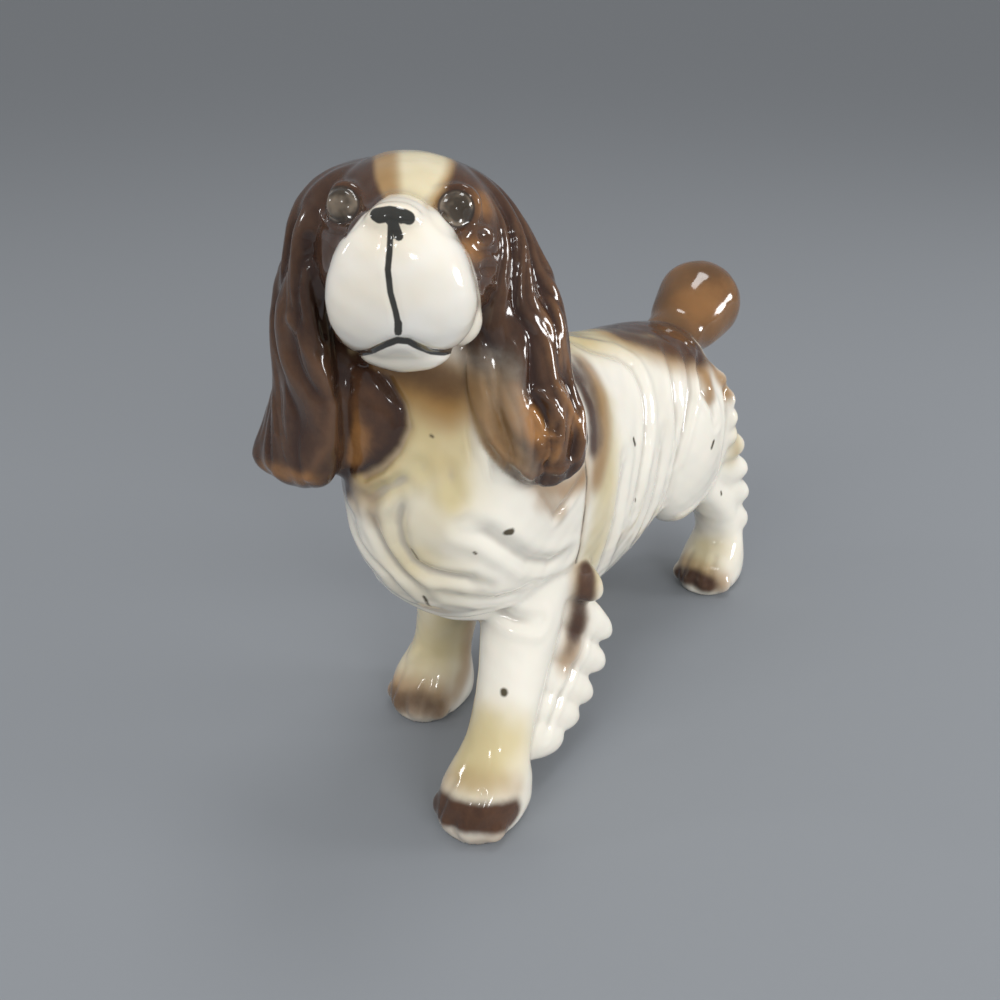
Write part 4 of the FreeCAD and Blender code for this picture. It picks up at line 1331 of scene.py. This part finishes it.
@dataclass
class Shader:
    """Builds the nodes of one material or world."""

    holder: bpy.types.ID

    def node(self, kind: str, settings: Optional[Dict] = None, **inputs) -> bpy.types.Node:
        """Adds a node.

        Args:
            kind: Its type name.
            settings: Properties of the node.
            inputs: Values or links for its inputs, by name with _ for a space, or i0, i1 by place.

        Returns:
            The node.
        """
        tree = self.holder.node_tree
        made = tree.nodes.new(kind)
        for key, value in (settings or {}).items():
            setattr(made, key, value)
        for key, value in inputs.items():
            by_place = key[0] == "i" and key[1:].isdigit()
            socket = made.inputs[int(key[1:])] if by_place else made.inputs[key.replace("_", " ")]
            if isinstance(value, bpy.types.NodeSocket):
                tree.links.new(value, socket)
            else:
                socket.default_value = value
        return made

    def value(self, name: str) -> bpy.types.NodeSocket:
        """A stored number of the mesh.

        Args:
            name: The attribute.

        Returns:
            The node's number output.
        """
        return self.node("ShaderNodeAttribute", {"attribute_name": name}).outputs["Fac"]

    def ramp(self, source: bpy.types.NodeSocket, low: float, high: float) -> bpy.types.NodeSocket:
        """Maps low to 0 and high to 1, smoothly.

        Args:
            source: The number.
            low: Its value at 0.
            high: Its value at 1.

        Returns:
            The mapped number.
        """
        made = self.node(
            "ShaderNodeMapRange", {"interpolation_type": "SMOOTHSTEP"},
            Value=source, From_Min=low, From_Max=high, To_Min=0.0, To_Max=1.0,
        )
        return made.outputs["Result"]

    def math(self, operation: str, first: Number, second: Number) -> bpy.types.NodeSocket:
        """Reckons with two numbers.

        Args:
            operation: ADD, MULTIPLY and so on.
            first: A number or an output.
            second: A number or an output.

        Returns:
            The result.
        """
        return self.node("ShaderNodeMath", {"operation": operation}, i0=first, i1=second).outputs[0]

    def noise(
        self, place: bpy.types.NodeSocket, scale: float, detail: float, roughness: float = 0.5,
    ) -> bpy.types.NodeSocket:
        """Soft random patches from 0 to 1.

        Args:
            place: Object coordinates.
            scale: Patches to the metre.
            detail: How many finer layers.
            roughness: Strength of the finer layers.

        Returns:
            The noise.
        """
        inputs = {"Vector": place, "Scale": scale, "Detail": detail, "Roughness": roughness}
        return self.node("ShaderNodeTexNoise", **inputs).outputs["Fac"]

    def mix(self, share: Number, first: Colour, second: Colour) -> bpy.types.NodeSocket:
        """Mixes two colours.

        Args:
            share: How much of the second.
            first: A colour.
            second: A colour.

        Returns:
            The mixed colour.
        """
        return self.node("ShaderNodeMix", {"data_type": "RGBA"}, i0=share, i6=first, i7=second).outputs[2]


@dataclass
class Glaze:
    """Glossy fired glaze over airbrushed colour, as one material."""

    finish: Finish
    make: Shader = field(init=False)

    def __post_init__(self) -> None:
        """Makes the empty material."""
        material = bpy.data.materials.new(self.finish.name)
        material.use_nodes = True
        material.node_tree.nodes.clear()
        self.make = Shader(material)

    def uneven(self, name: str, drift: bpy.types.NodeSocket, amount: float) -> bpy.types.NodeSocket:
        """A colour mask whose edge wanders as sprayed colour does.

        Args:
            name: The mask.
            drift: Broad noise about zero.
            amount: How far the edge wanders.

        Returns:
            The mask.
        """
        return self.make.math("ADD", self.make.value(name), self.make.math("MULTIPLY", drift, amount))

    def coat_colour(self, grain: bpy.types.NodeSocket, drift: bpy.types.NodeSocket) -> bpy.types.NodeSocket:
        """Cream ground with warm and tan patches, painted grey shade in the furrows, and liver brown over it.

        Args:
            grain: Fine noise about zero.
            drift: Broad noise about zero.

        Returns:
            The colour.
        """
        make = self.make
        finish = self.finish
        hollow = make.value("hollow")
        warm = make.ramp(self.uneven("warm", drift, 0.9), 0.0, 1.05)
        colour = make.mix(warm, linear(finish.cream), linear(finish.warm))
        # Painted shade: the cream turns grey in the furrows, where shade falls.
        shade = make.math("MULTIPLY", make.ramp(hollow, 0.02, 0.55), 0.62)
        colour = make.mix(shade, colour, linear(finish.furrow_shade))
        colour = make.mix(make.ramp(self.uneven("tan", drift, 0.4), 0.08, 1.10), colour, linear(finish.tan))
        amber = self.uneven("amber", drift, 0.6)
        height = make.math("MULTIPLY", make.value("lock"), 0.9)
        height = make.math("SUBTRACT", height, make.math("MULTIPLY", hollow, 0.18))
        height = make.math("ADD", height, make.math("MULTIPLY", drift, 0.8))
        height = make.math("ADD", height, make.math("MULTIPLY", make.ramp(amber, 0.2, 1.1), 0.55))
        height = make.math("ADD", height, make.math("MULTIPLY", grain, 0.6))
        light = make.mix(make.ramp(amber, 0.1, 0.9), linear(finish.liver_light), linear(finish.amber))
        brown = make.mix(make.ramp(height, -0.40, 0.85), linear(finish.liver_dark), light)
        liver = make.math("ADD", self.uneven("liver", drift, 0.30), make.math("MULTIPLY", grain, 0.20))
        return make.mix(make.ramp(liver, 0.12, 0.90), colour, brown)

    def painted_marks(
        self, colour: bpy.types.NodeSocket, place: bpy.types.NodeSocket, grain: bpy.types.NodeSocket,
        broad: bpy.types.NodeSocket,
    ) -> bpy.types.NodeSocket:
        """The white muzzle, the glassy eyes with their painted reflections, the black lines, and the speckles
        with the painted shade along the seam and in the air hole.

        Args:
            colour: The coat's colour.
            place: Object coordinates.
            grain: Fine noise about zero.
            broad: Broad noise from 0 to 1.

        Returns:
            The colour with the marks on it.
        """
        make = self.make
        finish = self.finish
        white = make.mix(make.ramp(broad, 0.3, 0.7), linear(finish.muzzle), linear(finish.muzzle_warm))
        edge = make.math("ADD", make.value("muzzle_mm"), make.math("MULTIPLY", grain, 0.2))
        colour = make.mix(make.ramp(edge, -0.12, 0.28), colour, white)
        # Painted reflections: lighter cloudy patches in the glass of the eyes.
        glint = make.ramp(make.noise(place, EYE_REFLECTION_SCALE, 2.0), 0.40, 0.62)
        glass = make.mix(glint, linear(finish.glass_dark), linear(finish.glass_reflection))
        colour = make.mix(make.ramp(make.value("eye_mm"), 0.15, -0.15), colour, glass)
        ring = make.math("ABSOLUTE", make.math("ADD", make.value("eye_mm"), 0.05), 0.0)
        rim = make.math("MULTIPLY", make.ramp(ring, 0.34, 0.05), 0.8)
        colour = make.mix(rim, colour, linear(finish.eye_rim))
        edge = make.math("ADD", make.value("ink_mm"), make.math("MULTIPLY", grain, 0.15))
        colour = make.mix(make.ramp(edge, 0.14, -0.12), colour, linear(finish.ink))
        # The speckles' dark colour also paints the shade along the seam and in the air hole.
        edge = make.math("ADD", make.value("speck_and_shade_mm"), make.math("MULTIPLY", grain, 0.6))
        return make.mix(make.ramp(edge, 0.34, -0.40), colour, linear(finish.speck_and_shade))

    def build(self) -> bpy.types.Material:
        """Puts the colour under a glossy, faintly rippled surface.

        Returns:
            The material.
        """
        make = self.make
        finish = self.finish
        place = make.node("ShaderNodeTexCoord").outputs["Object"]
        broad = make.noise(place, BROAD_PATCHES, 3.0, 0.55)
        grain = make.math("SUBTRACT", make.noise(place, FINE_GRAIN, 4.0, 0.6), 0.5)
        drift = make.math("SUBTRACT", broad, 0.5)
        colour = self.painted_marks(self.coat_colour(grain, drift), place, grain, broad)
        ripple = make.noise(place, GLAZE_RIPPLE, 2.0)
        bump = make.node("ShaderNodeBump", Strength=0.6, Distance=RIPPLE_HEIGHT * MM, Height=ripple)
        shader = make.node(
            "ShaderNodeBsdfPrincipled", Base_Color=colour, Roughness=finish.roughness, IOR=finish.index,
            Coat_Weight=finish.coat, Coat_Roughness=finish.coat_roughness, Coat_IOR=finish.index,
            Subsurface_Weight=finish.bleed, Subsurface_Scale=finish.bleed_depth,
            Normal=bump.outputs["Normal"], Coat_Normal=bump.outputs["Normal"],
        )
        make.node("ShaderNodeOutputMaterial", Surface=shader.outputs[0])
        return make.holder


@dataclass
class Parting:
    """Cuts the finished skin into closed castings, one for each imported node."""

    skin: Surface

    def cut(self) -> Dict[str, bpy.types.Object]:
        """Separates the skin and closes every cut.

        Returns:
            The castings by name.
        """
        body = self.skin.body
        mesh = body.data
        normals = self.skin.normals()
        stored = mesh.attributes.new("skin_normal", "FLOAT_VECTOR", "POINT")
        stored.data.foreach_set("vector", normals.ravel().astype(np.float32))
        first = np.empty(len(mesh.polygons), np.int32)
        mesh.polygons.foreach_get("loop_start", first)
        corner = np.empty(len(mesh.loops), np.int32)
        mesh.loops.foreach_get("vertex_index", corner)
        face_owner = self.skin.owner[corner[first]]
        tag = mesh.attributes.new("casting", "INT", "FACE")
        tag.data.foreach_set("value", face_owner.astype(np.int32))
        pieces: Dict[str, bpy.types.Object] = {}
        for index, name in enumerate(NODES):
            last = index == len(NODES) - 1
            piece = body if last else self.split(body, index)
            piece.name = f"glazed_{name}"
            piece.data.name = piece.name
            self.close(piece)
            pieces[name] = piece
            log.info("casting %s: %d faces", name, len(piece.data.polygons))
        return pieces

    def split(self, body: bpy.types.Object, index: int) -> bpy.types.Object:
        """Separates one casting's faces from what is left of the skin.

        Args:
            body: What is left.
            index: The casting's number.

        Returns:
            The new object.
        """
        active(body)
        mesh = body.data
        bpy.ops.object.mode_set(mode="EDIT")
        bpy.ops.mesh.select_mode(type="FACE")
        bpy.ops.mesh.select_all(action="DESELECT")
        bpy.ops.object.mode_set(mode="OBJECT")
        tag = np.empty(len(mesh.polygons), np.int32)
        mesh.attributes["casting"].data.foreach_get("value", tag)
        mesh.polygons.foreach_set("select", tag == index)
        bpy.ops.object.mode_set(mode="EDIT")
        bpy.ops.mesh.separate(type="SELECTED")
        bpy.ops.object.mode_set(mode="OBJECT")
        return next(item for item in bpy.context.selected_objects if item != body)

    def close(self, piece: bpy.types.Object) -> None:
        """Turns a casting's cut edges in, fills them, and gives its skin the unbroken figure's shading.

        Args:
            piece: The casting.
        """
        active(piece)
        skin_faces = len(piece.data.polygons)
        self.turn_in(piece)
        bpy.ops.object.mode_set(mode="EDIT")
        bpy.ops.mesh.select_all(action="SELECT")
        bpy.ops.mesh.fill_holes(sides=0)
        bpy.ops.mesh.select_all(action="SELECT")
        bpy.ops.mesh.normals_make_consistent(inside=False)
        bpy.ops.object.mode_set(mode="OBJECT")
        self.shade(piece, skin_faces)

    def turn_in(self, piece: bpy.types.Object) -> None:
        """Extrudes the cut edges and sinks the new rim below the skin.

        Args:
            piece: The casting.
        """
        skin_corners = len(piece.data.vertices)
        bpy.ops.object.mode_set(mode="EDIT")
        bpy.ops.mesh.select_mode(type="EDGE")
        bpy.ops.mesh.select_all(action="DESELECT")
        bpy.ops.mesh.select_non_manifold(
            extend=False, use_wire=False, use_boundary=True,
            use_multi_face=False, use_non_contiguous=False, use_verts=False,
        )
        bpy.ops.mesh.extrude_region_move(TRANSFORM_OT_translate={"value": (0.0, 0.0, 0.0)})
        bpy.ops.object.mode_set(mode="OBJECT")
        mesh = piece.data
        outward = self.stored_normals(mesh)
        places = np.empty(len(mesh.vertices) * 3, np.float32)
        mesh.vertices.foreach_get("co", places)
        places = places.reshape(-1, 3)
        places[skin_corners:] -= outward[skin_corners:] * (CAP_DEPTH * MM)
        mesh.vertices.foreach_set("co", places.ravel())

    def stored_normals(self, mesh: bpy.types.Mesh) -> np.ndarray:
        """Outward directions of the unbroken figure at a casting's points.

        Args:
            mesh: The casting's mesh.

        Returns:
            One unit vector a point.
        """
        stored = np.empty(len(mesh.vertices) * 3, np.float32)
        mesh.attributes["skin_normal"].data.foreach_get("vector", stored)
        return stored.reshape(-1, 3)

    def shade(self, piece: bpy.types.Object, skin_faces: int) -> None:
        """Sets the shading: the figure's on the skin, flat on the cut faces.

        Args:
            piece: The casting.
            skin_faces: How many of its faces are skin; they come first.
        """
        mesh = piece.data
        corner = np.empty(len(mesh.loops), np.int32)
        mesh.loops.foreach_get("vertex_index", corner)
        loops = self.stored_normals(mesh)[corner]
        for polygon in list(mesh.polygons)[skin_faces:]:
            loops[polygon.loop_start:polygon.loop_start + polygon.loop_total] = polygon.normal[:]
        mesh.attributes.remove(mesh.attributes["skin_normal"])
        mesh.attributes.remove(mesh.attributes["casting"])
        mesh.normals_split_custom_set(loops.tolist())


def add_camera() -> None:
    """The photograph's camera."""
    azimuth = math.radians(CAMERA_AZIMUTH)
    elevation = math.radians(CAMERA_ELEVATION)
    level = math.cos(elevation)
    back = Vector((math.sin(azimuth) * level, -math.cos(azimuth) * level, math.sin(elevation)))
    data = bpy.data.cameras.new("camera")
    data.lens = CAMERA_LENS
    data.sensor_width = SENSOR
    data.clip_start = 0.01
    camera = bpy.data.objects.new("camera", data)
    bpy.context.scene.collection.objects.link(camera)
    turn = back.to_track_quat("Z", "Y").to_matrix().to_4x4()
    camera.matrix_world = Matrix.Translation(to_frame(CAMERA_PLACE)) @ turn
    bpy.context.scene.camera = camera


def add_lamps() -> None:
    """Soft boxes round the figure. The broad ones only fill, and the small ones give the glaze its glints."""
    for lamp in LAMPS:
        data = bpy.data.lights.new(lamp.name, "AREA")
        data.shape = "ELLIPSE"
        data.size = lamp.width
        data.size_y = lamp.height
        data.energy = lamp.power
        data.color = lamp.colour
        obj = bpy.data.objects.new(lamp.name, data)
        obj.visible_glossy = lamp.mirrored
        bpy.context.scene.collection.objects.link(obj)
        place = Vector(lamp.place)
        turn = (place - TARGET).to_track_quat("Z", "Y").to_matrix().to_4x4()
        obj.matrix_world = Matrix.Translation(place) @ turn


def add_floor() -> None:
    """A plain matt floor that takes the figure's shadow."""
    deselect()
    bpy.ops.mesh.primitive_plane_add(size=FLOOR_SIZE, location=(0.0, 0.0, -FLOOR_DROP))
    floor = bpy.context.object
    floor.name = "floor"
    material = bpy.data.materials.new("floor_paper")
    material.use_nodes = True
    shader = material.node_tree.nodes["Principled BSDF"]
    shader.inputs["Base Color"].default_value = linear(BACKDROP)
    shader.inputs["Roughness"].default_value = FLOOR_ROUGHNESS
    floor.data.materials.append(material)


def add_world() -> None:
    """A world that lights the figure evenly, and that the camera and the glaze see as the backdrop."""
    world = bpy.data.worlds.new("world")
    bpy.context.scene.world = world
    world.use_nodes = True
    world.node_tree.nodes.clear()
    make = Shader(world)
    path = make.node("ShaderNodeLightPath").outputs
    seen = make.math("MAXIMUM", path["Is Camera Ray"], path["Is Glossy Ray"])
    seen = make.math("MAXIMUM", seen, path["Is Transmission Ray"])
    lit = make.node("ShaderNodeBackground", Color=(1.0, 1.0, 1.0, 1.0), Strength=WORLD_LIGHT)
    shown = make.node("ShaderNodeBackground", Color=linear(BACKDROP))
    mixed = make.node("ShaderNodeMixShader", i0=seen, i1=lit.outputs[0], i2=shown.outputs[0])
    make.node("ShaderNodeOutputWorld", Surface=mixed.outputs[0])


def main() -> None:
    """Builds the glazed figure, its stage and its camera."""
    clay = Clay()
    clay.take_nodes()
    clay.add_face()
    clay.add_trim()
    clay.fuse()
    skin = Surface(clay.body)
    figure = Figure(skin)
    figure.shape()
    figure.dress()
    finishes = {Slot.CREAM: Glaze(CREAM_FINISH).build(), Slot.LIVER: Glaze(LIVER_FINISH).build()}
    for name, piece in Parting(skin).cut().items():
        piece.data.materials.clear()
        piece.data.materials.append(finishes[SLOT_OF[name]])
        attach(piece, "root")
        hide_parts(name)
    add_floor()
    add_world()
    add_lamps()
    add_camera()
    bpy.context.scene.view_settings.view_transform = "Standard"


if __name__ == "__main__":
    main()
